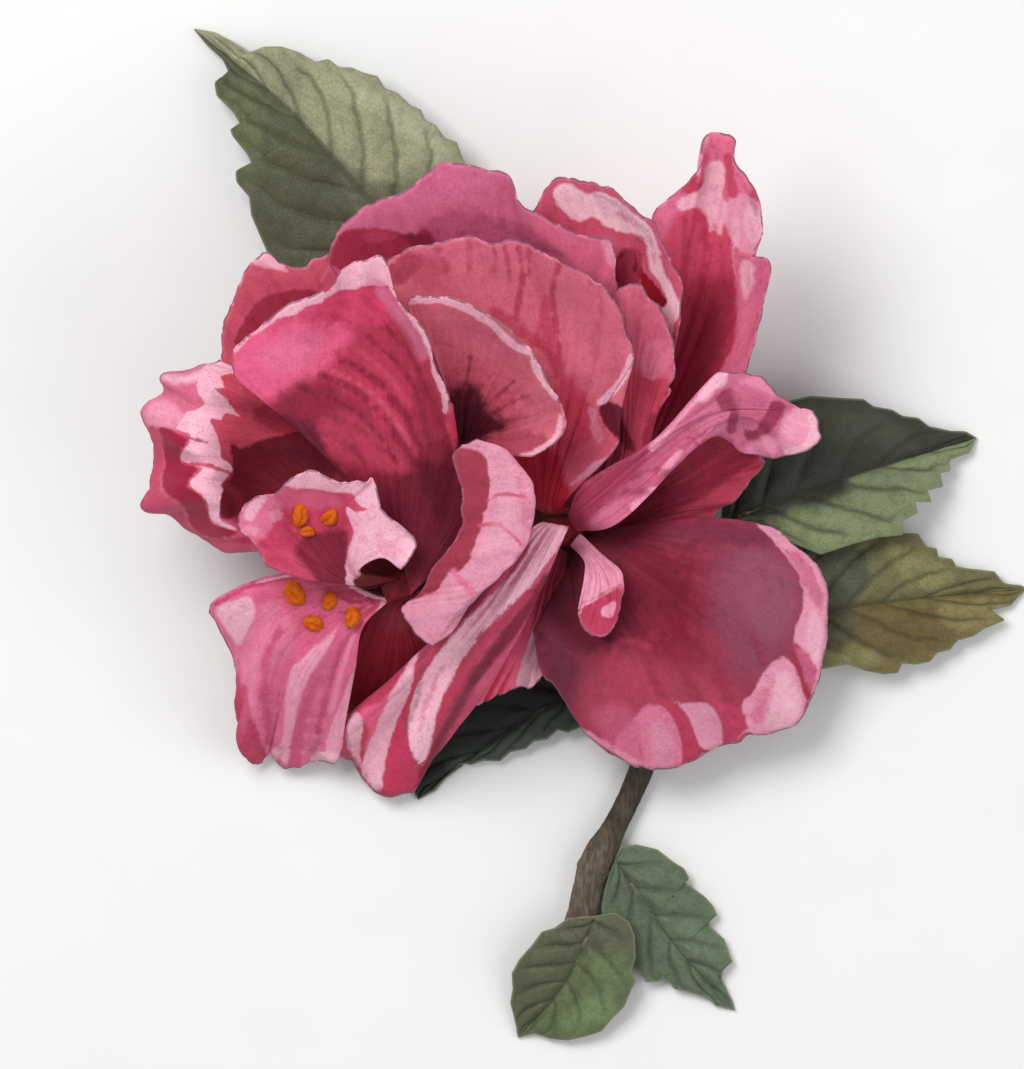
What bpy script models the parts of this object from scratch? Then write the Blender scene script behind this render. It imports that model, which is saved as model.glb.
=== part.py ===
"""A double hibiscus bloom, fuchsia pink, on a cut leafy twig that lies on a flat surface.

Sizes are in millimetres until a mesh is made. +Z is up, the twig lies on the plane z = 0 and runs
along +Y, and the bloom faces up. Each petal is a fan of smooth rays: from its claw on the staminal
column, through its throat and its belly, out to its rim.
"""

import math
from dataclasses import dataclass, field

import bmesh
import bpy
from mathutils import Matrix, Vector
from mathutils.bvhtree import BVHTree
from mathutils.geometry import delaunay_2d_cdt

for thing in list(bpy.data.objects):
    bpy.data.objects.remove(thing)

MM = 0.001

# Driving sizes
PETAL_THICKNESS = 0.7
LEAF_THICKNESS = 0.7
SEAT_GAP = 0.3
PETAL_COLUMNS = 11
PETAL_ROWS = 9
CLAW_WIDTH = 3.2
LEAF_PITCH = 6.0
PETIOLE_RADIUS = 0.9
ANTHER_SIZE = (1.6, 1.2, 0.9)

# The staminal column rises from the receptacle and then leans over to the left.
COLUMN_PATH = [(-3, 1, 18.9), (-3.5, 1, 25), (-8, 0, 31), (-17, -3, 33.5), (-28, -7, 34), (-38, -10.5, 33)]
COLUMN_RADII = [3.2, 2.9, 2.6, 2.3, 2.0, 1.7]

# The twig, from its cut end to its tip: where it runs, and how thick it is there.
TWIG_PATH = [(-0.8, -74.5), (0.6, -67), (2.4, -61.5), (6.2, -54.5), (9.6, -47.5), (12, -40), (12.5, -28),
    (12, -14), (10.5, 2), (9, 15)]
TWIG_RADII = [3.0, 2.8, 3.0, 2.3, 2.3, 2.4, 2.4, 2.3, 2.2, 1.5]
TWIG_FLAT = 0.35

# The pedicel leaves the twig under the bloom and turns up into the calyx.
PEDICEL_SEAT = 0.80
PEDICEL_PATH = [(6, -8.5, 2.8), (2, -4.5, 2.3), (-1.6, -0.7, 2.2), (-2.95, 0.75, 3.6), (-3, 1, 5.8)]
PEDICEL_RADII = [1.5, 1.5, 1.6, 1.8, 2.2]

CALYX_CENTRE = Vector((-3, 1, 0))
CALYX_BOTTOM = 7.6
CALYX_TOP = 18.6


def material(name, colour, roughness=0.6):
    made = bpy.data.materials.new(name)
    made.use_nodes = True
    shader = made.node_tree.nodes["Principled BSDF"]
    shader.inputs["Base Color"].default_value = (*colour, 1)
    shader.inputs["Roughness"].default_value = roughness
    shader.inputs["Metallic"].default_value = 0
    made.diffuse_color = (*colour, 1)
    return made


def add_object(name, bm, finish):
    mesh = bpy.data.meshes.new(name)
    bm.to_mesh(mesh)
    bm.free()
    mesh.materials.append(finish)
    mesh.shade_smooth()
    mesh.set_sharp_from_angle(angle=math.radians(50))
    thing = bpy.data.objects.new(name, mesh)
    bpy.context.scene.collection.objects.link(thing)
    return thing


def thicken(thing, thickness):
    solidify = thing.modifiers.new("thickness", "SOLIDIFY")
    solidify.thickness = thickness * MM
    solidify.offset = 0
    return thing


def fuse(thing, other):
    """Unite two closed solids that overlap. The second stays as a hidden guide."""
    union = thing.modifiers.new("union", "BOOLEAN")
    union.operation = "UNION"
    union.object = other
    other.hide_render = True
    other.display_type = "WIRE"


def vectors(points):
    return [Vector(point) for point in points]


def along(points, share):
    """The point at a share, 0 to 1, of the smooth curve through some points."""
    last = len(points) - 1
    place = min(max(share, 0) * last, last - 1e-9)
    i = int(place)
    t = place - i
    p1, p2 = points[i], points[i + 1]
    p0 = points[i - 1] if i > 0 else 2 * p1 - p2
    p3 = points[i + 2] if i + 2 <= last else 2 * p2 - p1
    return 0.5 * (
        2 * p1
        + (p2 - p0) * t
        + (2 * p0 - 5 * p1 + 4 * p2 - p3) * t * t
        + (3 * p1 - p0 - 3 * p2 + p3) * t * t * t
    )


def ramp(low, high, value):
    t = min(max((value - low) / (high - low), 0), 1)
    return t * t * (3 - 2 * t)


def direction_at(path, share):
    step = 0.01
    return (along(path, min(share + step, 1)) - along(path, max(share - step, 0))).normalized()


def seat_on(path, radii, share, toward, gap):
    """The point just off the surface of a round stem, on the side that faces another point."""
    centre, direction = along(path, share), direction_at(path, share)
    out = Vector(toward) - centre
    out = (out - out.dot(direction) * direction).normalized()
    radius = along([Vector((radius, 0, 0)) for radius in radii], share).x
    return centre + out * (radius + gap), out


def twig_line():
    return [Vector((x, y, radius - TWIG_FLAT)) for (x, y), radius in zip(TWIG_PATH, TWIG_RADII)]


def branch_path(share, path):
    """The way of a stalk that leaves the twig at a share of its length, square to it at first."""
    seat, out = seat_on(twig_line(), TWIG_RADII, share, path[0], SEAT_GAP)
    return [seat, seat + out * 1.2, *path]


@dataclass
class Petal:
    """One petal. seat is the share of the column where it grows; each ring runs clockwise from above."""

    name: str
    seat: float
    throat: tuple
    throat_width: float
    belly: list
    rim: list
    colour: tuple
    crest: list = None
    waves: float = 0
    wave_depth: float = 0
    wave_start: float = 0.2
    anthers: list = field(default_factory=list)

    def point(self, u, v):
        """u runs 0 to 1 from the left-hand edge to the right-hand edge, v from the root to the rim."""
        belly, throat = vectors(self.belly), Vector(self.throat)
        gap = SEAT_GAP + PETAL_THICKNESS / 2
        root, out = seat_on(vectors(COLUMN_PATH), COLUMN_RADII, self.seat, throat, gap)
        across = belly[-1] - belly[0]
        claw = (across - across.dot(out) * out).normalized() * CLAW_WIDTH
        forward = (throat - root).normalized()
        neck = (across - across.dot(forward) * forward).normalized() * self.throat_width
        side = u - 0.5
        ray = [root + claw * side, throat + neck * side, along(belly, u)]
        if self.crest:
            ray.append(along(vectors(self.crest), u))
        ray.append(along(vectors(self.rim), u))
        return along(ray, v)

    def wave(self, u, v):
        """Height of the ruffle above the smooth petal."""
        turn = self.waves * u + self.wave_start
        return self.wave_depth * math.sin(2 * math.pi * turn) * ramp(0.35, 1, v)


PETALS = [
    # The right-hand side
    Petal("petal_lower_right", 0.10, (2.5, -2.5, 28), 14,
          [(19, 3.2, 29), (24, -3, 31), (23, -11, 31.5), (20, -18, 31), (14, -22, 31), (7, -22, 31),
           (0, -19, 30), (-6.5, -12, 29)],
          [(31, 2.6, 23.5), (36, 1.2, 20.5), (41.5, -2, 17.8), (46.2, -10, 15), (46, -20, 13),
           (44.8, -30.5, 12), (40, -36.4, 12), (34, -37.6, 12), (26, -40.5, 12), (17, -44.8, 12),
           (8, -42.8, 12), (-1, -36, 15), (-7.4, -26, 20.5), (-9.9, -17, 26)],
          (0.31, 0.03, 0.09), waves=4, wave_depth=0.7),
    Petal("petal_under_right", 0.015, (8, 3, 20), 5,
          [(14, 14, 20.6), (19, 8, 22.5), (17, 1.5, 22.5)],
          [(22.5, 22.6, 22.4), (29.5, 20.6, 23.6), (34, 14.6, 23.5), (31.8, 10.6, 22.8), (29, 7, 22.2),
           (25.6, 4.6, 21.6), (22, 0, 21)],
          (0.37, 0.02, 0.07)),
    Petal("petal_right_folded", 0.28, (3.5, 6.5, 38.5), 10,
          [(12.6, 18.6, 39), (16.6, 21, 41), (22, 23, 40.5), (27, 23, 39), (28, 22.5, 38),
           (23.4, 19.6, 38.5), (17, 12.4, 38.5)],
          [(24.6, 30.2, 36), (28.5, 31, 36.6), (34, 30.2, 36), (36.6, 26.8, 34.8), (40, 24.6, 34.2),
           (44, 23.4, 33.4), (44.8, 18.6, 32.8), (40.5, 16, 32), (35.5, 15, 31.6), (31, 14.8, 31.6),
           (28.6, 18.6, 32.4), (25.4, 20, 33), (22, 16.4, 33.4)],
          (0.52, 0.10, 0.22)),
    Petal("petal_upper_right", 0.045, (11, 13.5, 22), 7,
          [(14, 36, 27), (17, 43, 26), (22, 46, 26), (27, 44, 28), (30, 36, 31), (26, 27, 30)],
          [(13, 54, 31), (13, 60.8, 35), (19.5, 66.6, 38.6), (22.4, 71, 40), (22.8, 74.4, 41),
           (25.4, 76.6, 41), (28.8, 75.4, 41), (29.4, 71, 41.5), (34.2, 62, 41), (33.2, 56, 40.3),
           (34.8, 51.8, 39.5), (34.4, 45, 38.2), (31, 31, 34)],
          (0.43, 0.05, 0.11), waves=2, wave_depth=0.5),
    # The upper side
    Petal("petal_crested", 0.085, (2.5, 13, 24), 6,
          [(-7, 50, 32), (-3, 54, 34), (3, 54, 35), (9, 50, 35), (13, 43, 34), (13.5, 35, 32),
           (13, 27, 30)],
          [(-10, 61.4, 38), (-8, 65.6, 41.6), (-4, 67.9, 43.6), (1, 66.6, 45), (4.6, 66.2, 46),
           (9, 63.2, 47), (13, 60, 47), (15.6, 53, 46), (18.4, 46, 44), (17.8, 40, 41), (17, 33, 37)],
          (0.68, 0.19, 0.30), waves=2, wave_depth=0.5),
    Petal("petal_top", 0.13, (-5, 13, 26), 8,
          [(-27, 27, 26), (-26, 38, 29), (-18, 43, 31), (-9, 43, 32), (-2, 40, 32), (2, 33, 31)],
          [(-45, 50, 33), (-48.2, 54, 35), (-45, 60, 38), (-38, 64, 39.8), (-31.5, 67.2, 41.4),
           (-26, 71.6, 42), (-20.5, 70.4, 42.8), (-15, 68.2, 43.5), (-11.4, 62.6, 44.3), (-4.6, 59.4, 45),
           (1, 56.6, 44.3), (5.4, 54.6, 43), (6, 50, 40.6), (6.4, 44.6, 37)],
          (0.52, 0.09, 0.21), waves=3, wave_depth=0.6),
    Petal("petal_upper_broad", 0.19, (-7.5, 7.5, 30), 10,
          [(-24, 30, 36), (-21, 36, 37), (-13, 39, 38), (-5, 38, 38), (1, 34, 38), (4, 28, 37),
           (3.5, 20, 36)],
          [(-36, 45, 43), (-38, 50.5, 46), (-31, 55, 48.4), (-22, 57, 50), (-12, 56, 50), (-4, 52, 50),
           (4, 47, 48.8), (7.6, 40.5, 47), (8.8, 33, 44.5), (6.5, 25, 42)],
          (0.55, 0.08, 0.14), waves=4, wave_depth=0.7),
    Petal("petal_inner_right", 0.16, (8, 12, 31), 6,
          [(6, 30, 35), (9, 33, 35.5), (13, 31, 35.5), (14, 24, 35)],
          [(5, 41, 39.5), (6, 46.4, 43), (11, 47.4, 44.8), (16, 40, 43.6), (17, 32, 41), (15.5, 23, 37.5)],
          (0.48, 0.07, 0.14)),
    # The left-hand side
    Petal("petal_left_back", 0.55, (-28, 8, 28), 6,
          [(-48, 17, 27.5), (-50, 28, 28), (-46, 35, 28.5), (-39, 35, 28)],
          [(-66, 27, 28), (-68.9, 35, 29), (-67.2, 43.5, 30.8), (-63.6, 51.4, 32.4), (-60.4, 53.8, 33),
           (-54, 51, 33), (-48, 53.9, 33), (-45, 51, 32), (-41, 47, 31)],
          (0.48, 0.06, 0.13), waves=2.5, wave_depth=0.6),
    Petal("petal_left_wing", 0.90, (-42, -4, 32.5), 8,
          [(-54, -4.6, 31), (-59, 3, 30), (-60, 12, 30), (-57, 20, 31), (-48, 19, 33)],
          [(-66, -2, 30), (-73, 0, 27.6), (-80, 3.4, 27), (-83.8, 5.8, 28), (-81.9, 9, 28.6),
           (-82.9, 14, 30), (-81.4, 19, 31), (-83.8, 23.4, 31.8), (-80.6, 29.6, 34), (-75.4, 30.8, 35),
           (-69.6, 33.8, 36)],
          (0.58, 0.13, 0.24),
          crest=[(-62, -2.4, 36), (-69, 4, 40), (-73, 10, 42), (-73, 20, 42), (-72.6, 26, 42),
              (-62, 31, 38)],
          waves=3.5, wave_depth=0.9),
    Petal("petal_hood", 0.78, (-34, -5, 38.5), 14,
          [(-51.6, 17.6, 42), (-54, 24, 45), (-47, 30, 46), (-40, 31, 46), (-34, 28, 46), (-28, 18, 44),
           (-22, 2, 40.5)],
          [(-66.5, 30.4, 50), (-66.4, 36, 53.4), (-60, 41, 56.4), (-52, 46, 59), (-46.5, 50, 60.4),
           (-42, 52.6, 61), (-38.4, 52.4, 61), (-34, 44, 60), (-29.4, 37.4, 59), (-27, 29, 57),
           (-26, 21, 50.6)],
          (0.52, 0.04, 0.13), waves=1.5, wave_depth=0.4),
    Petal("petal_round", 0.66, (-22, 17, 37), 6,
          [(-26, 26, 41), (-27, 33, 43), (-21, 34, 44.5), (-16, 31, 44.5), (-12.5, 26, 44), (-13, 20, 42),
           (-16.5, 15.5, 40)],
          [(-29, 34, 47), (-33.6, 44.2, 51), (-27, 45.6, 53.4), (-19.6, 42.8, 54.6), (-13.4, 37, 55),
           (-9.4, 35, 55), (-4.4, 27, 53), (-3.6, 22, 51), (-4.8, 18.4, 49.4), (-9.6, 15, 46)],
          (0.48, 0.08, 0.16), waves=1.5, wave_depth=0.4),
    Petal("petal_lip", 0.50, (-14, 6, 44.5), 8,
          [(-24, -16, 44), (-20.5, -11.5, 48), (-16, -7.5, 50.5), (-11.5, -2, 52), (-10, 4.5, 52.5),
           (-10.5, 10.5, 52), (-14.5, 16, 50.5)],
          [(-28.6, -20.6, 41), (-34.6, -15, 40), (-31, -10.4, 42), (-27, -4, 44.8), (-23.4, 2, 47.4),
           (-23.2, 8, 48.6), (-24.8, 15.4, 49.5), (-20.5, 18.6, 49.5)],
          (0.75, 0.26, 0.38)),
    # The lower side
    Petal("petal_pleated", 0.36, (-7, 0.5, 40.5), 7,
          [(-13, -19, 32), (-16.5, -18.5, 36), (-21.5, -18, 36), (-26.5, -17.5, 33.5)],
          [(-24, -34, 14), (-31, -47.6, 5), (-36, -49.2, 3.2), (-42, -46.6, 3), (-47, -39.6, 8),
           (-45.4, -35.4, 12), (-42.5, -31, 15)],
          (0.68, 0.16, 0.28), waves=2.5, wave_depth=1.2),
    Petal("petal_tuck", 0.05, (-7, -7, 21), 8,
          [(-4.5, -15, 20), (-10, -18.5, 20), (-15, -18, 19)],
          [(-7.5, -26, 17), (-9.8, -28.4, 16), (-17, -30.4, 14), (-25, -31, 13)],
          (0.68, 0.18, 0.28)),
    Petal("petal_wedge", 0.80, (-35, -14, 28), 10,
          [(-28, -23, 21), (-37, -26, 17), (-46, -24, 18)],
          [(-30, -33, 10), (-38, -38, 4), (-45, -38, 3), (-50, -31, 7)],
          (0.16, 0.01, 0.03)),
    Petal("petal_lower_left", 0.985, (-43.5, -12.5, 30.5), 10,
          [(-43.6, -25, 24), (-52, -26, 25), (-57, -22, 25.5), (-58, -14, 28), (-53, -6.5, 28.5)],
          [(-46.8, -40.6, 9), (-47.6, -43.4, 7), (-54.4, -44.2, 4), (-57.6, -43.2, 3.4), (-58.8, -40.2, 4),
           (-60.4, -43.4, 3.2), (-62.8, -43.4, 4), (-65.6, -37, 8), (-66.8, -26, 13.5), (-70.8, -13, 21),
           (-61, -7.8, 26)],
          (0.72, 0.20, 0.33), waves=3.5, wave_depth=0.8,
          anthers=[(-55, -10.9), (-48.3, -12.4), (-51.3, -16.4), (-43.8, -15.4)]),
    # Small petaloids round the column
    Petal("petaloid_curl", 0.26, (1.5, -3.8, 34), 3.5,
          [(6.9, -6.6, 40), (4.4, -9.5, 38), (0, -8, 39.5)],
          [(7.6, -10.5, 40), (6.2, -16, 38.5), (3.4, -19, 37.7), (-0.6, -16.6, 38), (-1, -13.6, 38.5)],
          (0.75, 0.26, 0.38)),
    Petal("petaloid_anthers", 0.955, (-44, -8, 39), 6,
          [(-54, -8, 41), (-57, -1, 42), (-53, 4, 43), (-47, 4, 43.5), (-42.5, 0, 46), (-38.5, -4, 46)],
          [(-60, -6, 44), (-63.6, -1, 45.4), (-65.6, 2.4, 46.2), (-61.6, 7.6, 47.6), (-58, 9, 48.8),
           (-52.4, 12.6, 50), (-46.4, 9.8, 50.2), (-40.2, 11, 51), (-38.4, 5, 50), (-31.8, -1.2, 48),
           (-34.6, -6.2, 46)],
          (0.61, 0.13, 0.24), waves=3, wave_depth=0.4,
          anthers=[(-54, 4.1), (-48.1, 3.6), (-52.6, 1)]),
]


@dataclass
class Leaf:
    """One leaf. seat is the share of the twig where its petiole grows; its lines run from base to tip."""

    name: str
    seat: float
    petiole: list
    midrib: list
    left: list
    right: list
    droop: float
    colour: tuple

    def outline(self):
        base, tip = self.midrib[0][:2], self.midrib[-1][:2]
        return [Vector(point) for point in [base, *self.left, tip, *reversed(self.right)]]

    def height(self, place):
        """The blade follows its midrib and sinks towards its margins."""
        steps = 40
        ribs = [along(vectors(self.midrib), i / steps) for i in range(steps + 1)]
        nearest = min(ribs, key=lambda rib: (rib.xy - place).length)
        return max(nearest.z - self.droop * ((nearest.xy - place).length / 20) ** 2, LEAF_THICKNESS / 2)


LEAVES = [
    Leaf("leaf_top_left",
         0.96, [(5, 20, 2.4), (0, 27, 3.8), (-8, 36, 7), (-19, 43, 10.5), (-27, 47, 12)],
         [(-23, 45.5, 12), (-40, 63, 12.5), (-56, 81, 9), (-74, 96.3, 0.35)],
         [(-32, 43), (-42, 43), (-52, 47), (-59.5, 52.5), (-64, 59.5), (-66.5, 68.5), (-62.5, 69.5),
          (-67, 73), (-68.5, 77.5), (-65.5, 79), (-69.5, 82), (-70.5, 85.5), (-67.5, 87.5), (-71, 92)],
         [(-19, 50), (-17, 57), (-18.5, 65), (-23, 71.5), (-24, 74.5), (-28.5, 77.5), (-30.5, 81),
          (-35.5, 83.5), (-39, 87), (-45, 88.5), (-49, 91.3), (-55.5, 92), (-59.5, 93.8), (-64.5, 92.2),
          (-69, 95.6)],
         4.0, (0.19, 0.20, 0.11)),
    Leaf("leaf_right_upper",
         0.84, [(17, -4, 4), (24, 0, 9), (30, 4, 13)],
         [(26, 2, 13), (40, 8, 14), (56, 13, 9), (74.5, 18.6, 0.35)],
         [(27, 12), (33, 20), (41, 25.5), (49, 26.8), (54, 26), (60, 22.8), (66, 21), (70, 20)],
         [(34, 1), (40, -1.5), (45, -3.5), (51, -1.5), (56, 0.3), (61, 0.8), (61.5, 3.5), (66, 5.8),
          (65.5, 9), (70, 12), (69.5, 14.6), (73.8, 16.5)],
         4.0, (0.10, 0.13, 0.07)),
    Leaf("leaf_right_lower",
         0.70, [(19, -20.5, 3.5), (26, -17, 6), (33, -15.5, 7)],
         [(29, -16, 7), (45, -14, 8), (62, -12, 5), (84, -10, 0.35)],
         [(32, -6), (40, -1.5), (50, 0.5), (58, 1), (64, 0.8), (65, -2), (70, -4.2), (71, -6.5), (77.5, -7),
          (78, -8.6)],
         [(35, -23.5), (44, -25.5), (52, -26), (58, -27), (61, -24.5), (66, -22.5), (71, -20.5),
          (72.5, -18.5), (79, -18), (79, -15.2), (82.5, -13)],
         4.0, (0.20, 0.18, 0.08)),
    Leaf("leaf_lower_left",
         0.66, [(6, -27, 3.4), (1.5, -28.5, 4)],
         [(4, -27.8, 4), (-8, -33, 4), (-20, -41, 2), (-31.5, -50, 0.35)],
         [(0, -36), (-5, -38), (-9, -39), (-13, -41.8), (-18, -43), (-21, -44.5), (-24.5, -45),
          (-28, -48.5)],
         [(-2, -23), (-10, -23.5), (-18, -27), (-24, -32.5), (-30, -40), (-33.5, -46.5)],
         2.5, (0.02, 0.03, 0.02)),
    Leaf("leaf_front_low",
         0.02, [(-0.6, -74.9, 6.9), (0.3, -77.5, 7.0)],
         [(2, -72.3, 8.0), (-1.5, -81, 6.8), (-6, -88, 3.6), (-12.5, -95.2, 0.35)],
         [(6, -71.6), (9.5, -74), (9.8, -80), (10.5, -84), (9, -88.3), (6, -92.3), (2, -95.3), (-3, -96.3),
          (-8, -96)],
         [(-3, -72.6), (-8, -75.4), (-12.3, -80.5), (-14.2, -86), (-14, -91)],
         3.0, (0.14, 0.20, 0.09)),
    Leaf("leaf_back_low",
         0.19, [(7.0, -66, 1.9), (9.5, -68.5, 1.9)],
         [(5.9, -61.5, 2.7), (13, -72, 3.2), (20, -81, 2.2), (28.6, -90, 0.35)],
         [(7.0, -58.8), (12.5, -59), (17, -62), (19, -65.3), (22.5, -67), (23.5, -70.5), (26, -72),
          (25.5, -76), (28.7, -79.5), (26.5, -83.5), (28.6, -87)],
         [(4.4, -65.5), (3.9, -67.5), (3.3, -71), (4.4, -76), (7.5, -80.5), (9.5, -84.3), (12.5, -86.2),
          (16, -85.6), (20, -87.5), (24.5, -89.2)],
         2.0, (0.14, 0.20, 0.13)),
]


def make_petal(petal):
    bm = bmesh.new()
    bmesh.ops.create_grid(bm, x_segments=PETAL_COLUMNS, y_segments=PETAL_ROWS, size=0.5)
    places = {}
    for vert in bm.verts:
        u, v = vert.co.x + 0.5, vert.co.y + 0.5
        places[vert] = (u, v)
        vert.co = petal.point(u, v) * MM
    bm.normal_update()
    rise = {vert: vert.normal * petal.wave(*places[vert]) * MM for vert in bm.verts}
    for vert in bm.verts:
        vert.co += rise[vert]
        vert.co.z = max(vert.co.z, PETAL_THICKNESS / 2 * MM)
    bmesh.ops.triangulate(bm, faces=bm.faces, quad_method="FIXED")
    surface = BVHTree.FromBMesh(bm)
    finish = material(petal.name, petal.colour, 0.55)
    thing = thicken(add_object(petal.name, bm, finish), PETAL_THICKNESS)
    if petal.anthers:
        fuse(thing, make_anthers(petal, surface, finish))


def make_anthers(petal, surface, finish):
    """Anthers that lie on a petaloid, half sunk in it, each turned another way."""
    bm = bmesh.new()
    for i, (x, y) in enumerate(petal.anthers):
        place, *_ = surface.ray_cast(Vector((x, y, 100)) * MM, Vector((0, 0, -1)))
        turn = Matrix.Rotation(math.radians(35 + 50 * i), 4, "Z")
        size = Matrix.Diagonal(Vector((*ANTHER_SIZE, 1 / MM)) * MM)
        rise = Vector((0, 0, 0.5 * MM))
        placed = Matrix.Translation(place + rise) @ turn @ size
        bmesh.ops.create_icosphere(bm, subdivisions=1, radius=1, matrix=placed)
    return add_object(petal.name + "_anthers", bm, finish)


def tube(name, path, radii, sides, rings, finish, floor=None):
    """A round solid along a smooth path. What would lie lower than the floor is pressed flat on it."""
    path, radii = vectors(path), [Vector((radius, 0, 0)) for radius in radii]
    bm = bmesh.new()
    bmesh.ops.create_grid(bm, x_segments=sides, y_segments=rings, size=0.5)
    for vert in bm.verts:
        angle, share = (vert.co.x + 0.5) * 2 * math.pi, vert.co.y + 0.5
        forward = direction_at(path, share)
        side = forward.cross(Vector((0.2, 0.1, 1))).normalized()
        up = side.cross(forward)
        outward = side * math.cos(angle) + up * math.sin(angle)
        vert.co = along(path, share) + along(radii, share).x * outward
        if floor is not None:
            vert.co.z = max(vert.co.z, floor)
        vert.co *= MM
    bmesh.ops.remove_doubles(bm, verts=bm.verts, dist=0.00001)
    bmesh.ops.holes_fill(bm, edges=bm.edges, sides=0)
    bmesh.ops.recalc_face_normals(bm, faces=bm.faces)
    bmesh.ops.triangulate(bm, faces=bm.faces)
    return add_object(name, bm, finish)


def turned(name, profile, sides, finish, centre):
    """A closed turned solid whose profile may change with the angle: profile(angle) lists (radius, z)."""
    rows = len(profile(0)) - 1
    bm = bmesh.new()
    bmesh.ops.create_grid(bm, x_segments=sides, y_segments=rows, size=0.5)
    for vert in bm.verts:
        angle = (vert.co.x + 0.5) * 2 * math.pi
        radius, z = profile(angle)[round((vert.co.y + 0.5) * rows)]
        vert.co = (centre + Vector((radius * math.cos(angle), radius * math.sin(angle), z))) * MM
    bmesh.ops.remove_doubles(bm, verts=bm.verts, dist=0.00001)
    bmesh.ops.recalc_face_normals(bm, faces=bm.faces)
    bmesh.ops.triangulate(bm, faces=bm.faces)
    return add_object(name, bm, finish)


def calyx_profile(angle):
    """Receptacle and five spreading lobes, from the middle of the underside to the middle of the top."""
    lobe = (0.5 + 0.5 * math.cos(5 * angle)) ** 0.7
    bottom = CALYX_BOTTOM
    return [
        (0, bottom), (2.6, bottom), (4.8, bottom + 1.6), (6.2, bottom + 4.2), (6.8, bottom + 6.4),
        (7.2 + 2.0 * lobe, bottom + 8.2), (7.6 + 4.4 * lobe, bottom + 9.2),
        (7.4 + 4.4 * lobe, bottom + 10.1), (6.6 + 1.5 * lobe, bottom + 9.4), (4.6, bottom + 8.6),
        (3.6, bottom + 9.4), (3.2, CALYX_TOP), (0, CALYX_TOP),
    ]


def epicalyx_profile(angle):
    """A shallow cup under the calyx with seven narrow bracts that stand off it."""
    bract = (0.5 + 0.5 * math.cos(7 * angle)) ** 3
    bottom = CALYX_BOTTOM - 1.1
    return [
        (0, bottom), (2.8, bottom), (5.4, bottom + 1.6), (6.4 + 1.2 * bract, bottom + 3.6),
        (6.9 + 3.4 * bract, bottom + 5.2), (6.8 + 3.4 * bract, bottom + 6.0),
        (6.5 + 1.0 * bract, bottom + 4.7), (5.0, bottom + 2.1), (2.7, bottom + 0.8), (0, bottom + 0.8),
    ]


def make_leaf(leaf):
    outline = leaf.outline()
    count = len(outline)

    def clear_of_margin(place):
        for i in range(count):
            start, side = outline[i], outline[(i + 1) % count] - outline[i]
            share = min(max((place - start).dot(side) / side.length_squared, 0), 1)
            if (place - start - side * share).length < LEAF_PITCH * 0.4:
                return False
        return True

    low = Vector((min(p.x for p in outline), min(p.y for p in outline)))
    high = Vector((max(p.x for p in outline), max(p.y for p in outline)))
    inner = []
    row = 0
    while low.y + row * LEAF_PITCH < high.y:
        x = low.x + (row % 2) * LEAF_PITCH / 2
        while x < high.x:
            place = Vector((x, low.y + row * LEAF_PITCH))
            if clear_of_margin(place):
                inner.append(place)
            x += LEAF_PITCH
        row += 1
    places, _, faces, *_ = delaunay_2d_cdt(outline + inner, [], [list(range(count))], 1, 0.001)
    bm = bmesh.new()
    verts = [bm.verts.new(Vector((p.x, p.y, leaf.height(p))) * MM) for p in places]
    for face in faces:
        bm.faces.new([verts[i] for i in face])
    bmesh.ops.delete(bm, geom=[vert for vert in bm.verts if not vert.link_faces], context="VERTS")
    bmesh.ops.recalc_face_normals(bm, faces=bm.faces)
    finish = material(leaf.name, leaf.colour, 0.6)
    blade = thicken(add_object(leaf.name, bm, finish), LEAF_THICKNESS)
    path = branch_path(leaf.seat, leaf.petiole)
    stalk = tube(leaf.name + "_petiole", path, [PETIOLE_RADIUS] * 2, 8, 9, finish, floor=0)
    fuse(blade, stalk)


bark = material("bark", (0.10, 0.08, 0.06), 0.8)
green = material("calyx green", (0.20, 0.27, 0.09), 0.6)
dark_red = material("column red", (0.18, 0.02, 0.04), 0.5)

tube("twig", twig_line(), TWIG_RADII, 12, 30, bark, floor=0)
tube("pedicel", branch_path(PEDICEL_SEAT, PEDICEL_PATH), PEDICEL_RADII, 10, 12, green)
turned("epicalyx", epicalyx_profile, 42, green, CALYX_CENTRE)
turned("calyx", calyx_profile, 40, green, CALYX_CENTRE)
tube("staminal_column", COLUMN_PATH, COLUMN_RADII, 12, 16, dark_red)
for petal in PETALS:
    make_petal(petal)
for leaf in LEAVES:
    make_leaf(leaf)
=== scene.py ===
import math
import random
from dataclasses import dataclass, field

import bmesh
import bpy
import numpy as np
from mathutils import Matrix, Vector, noise
from mathutils.bvhtree import BVHTree


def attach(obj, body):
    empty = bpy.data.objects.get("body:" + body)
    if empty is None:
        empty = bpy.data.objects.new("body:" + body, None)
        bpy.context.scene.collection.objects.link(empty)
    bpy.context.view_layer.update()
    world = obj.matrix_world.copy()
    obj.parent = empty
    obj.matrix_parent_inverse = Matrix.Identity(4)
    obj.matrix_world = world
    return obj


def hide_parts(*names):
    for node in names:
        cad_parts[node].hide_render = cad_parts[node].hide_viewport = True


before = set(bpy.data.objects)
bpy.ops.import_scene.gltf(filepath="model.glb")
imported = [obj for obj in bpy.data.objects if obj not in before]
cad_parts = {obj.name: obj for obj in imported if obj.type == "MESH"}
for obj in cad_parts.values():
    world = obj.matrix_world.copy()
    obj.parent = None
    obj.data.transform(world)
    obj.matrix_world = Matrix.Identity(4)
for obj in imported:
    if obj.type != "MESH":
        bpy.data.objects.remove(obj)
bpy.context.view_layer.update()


# The camera
# The sprig lies on a table and is seen from straight above without perspective, as a botanical picture
# draws it, so every outline keeps its place.
MM = 0.001
PICTURE = (1024, 1069)
PIXEL = 0.19 * MM
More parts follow.
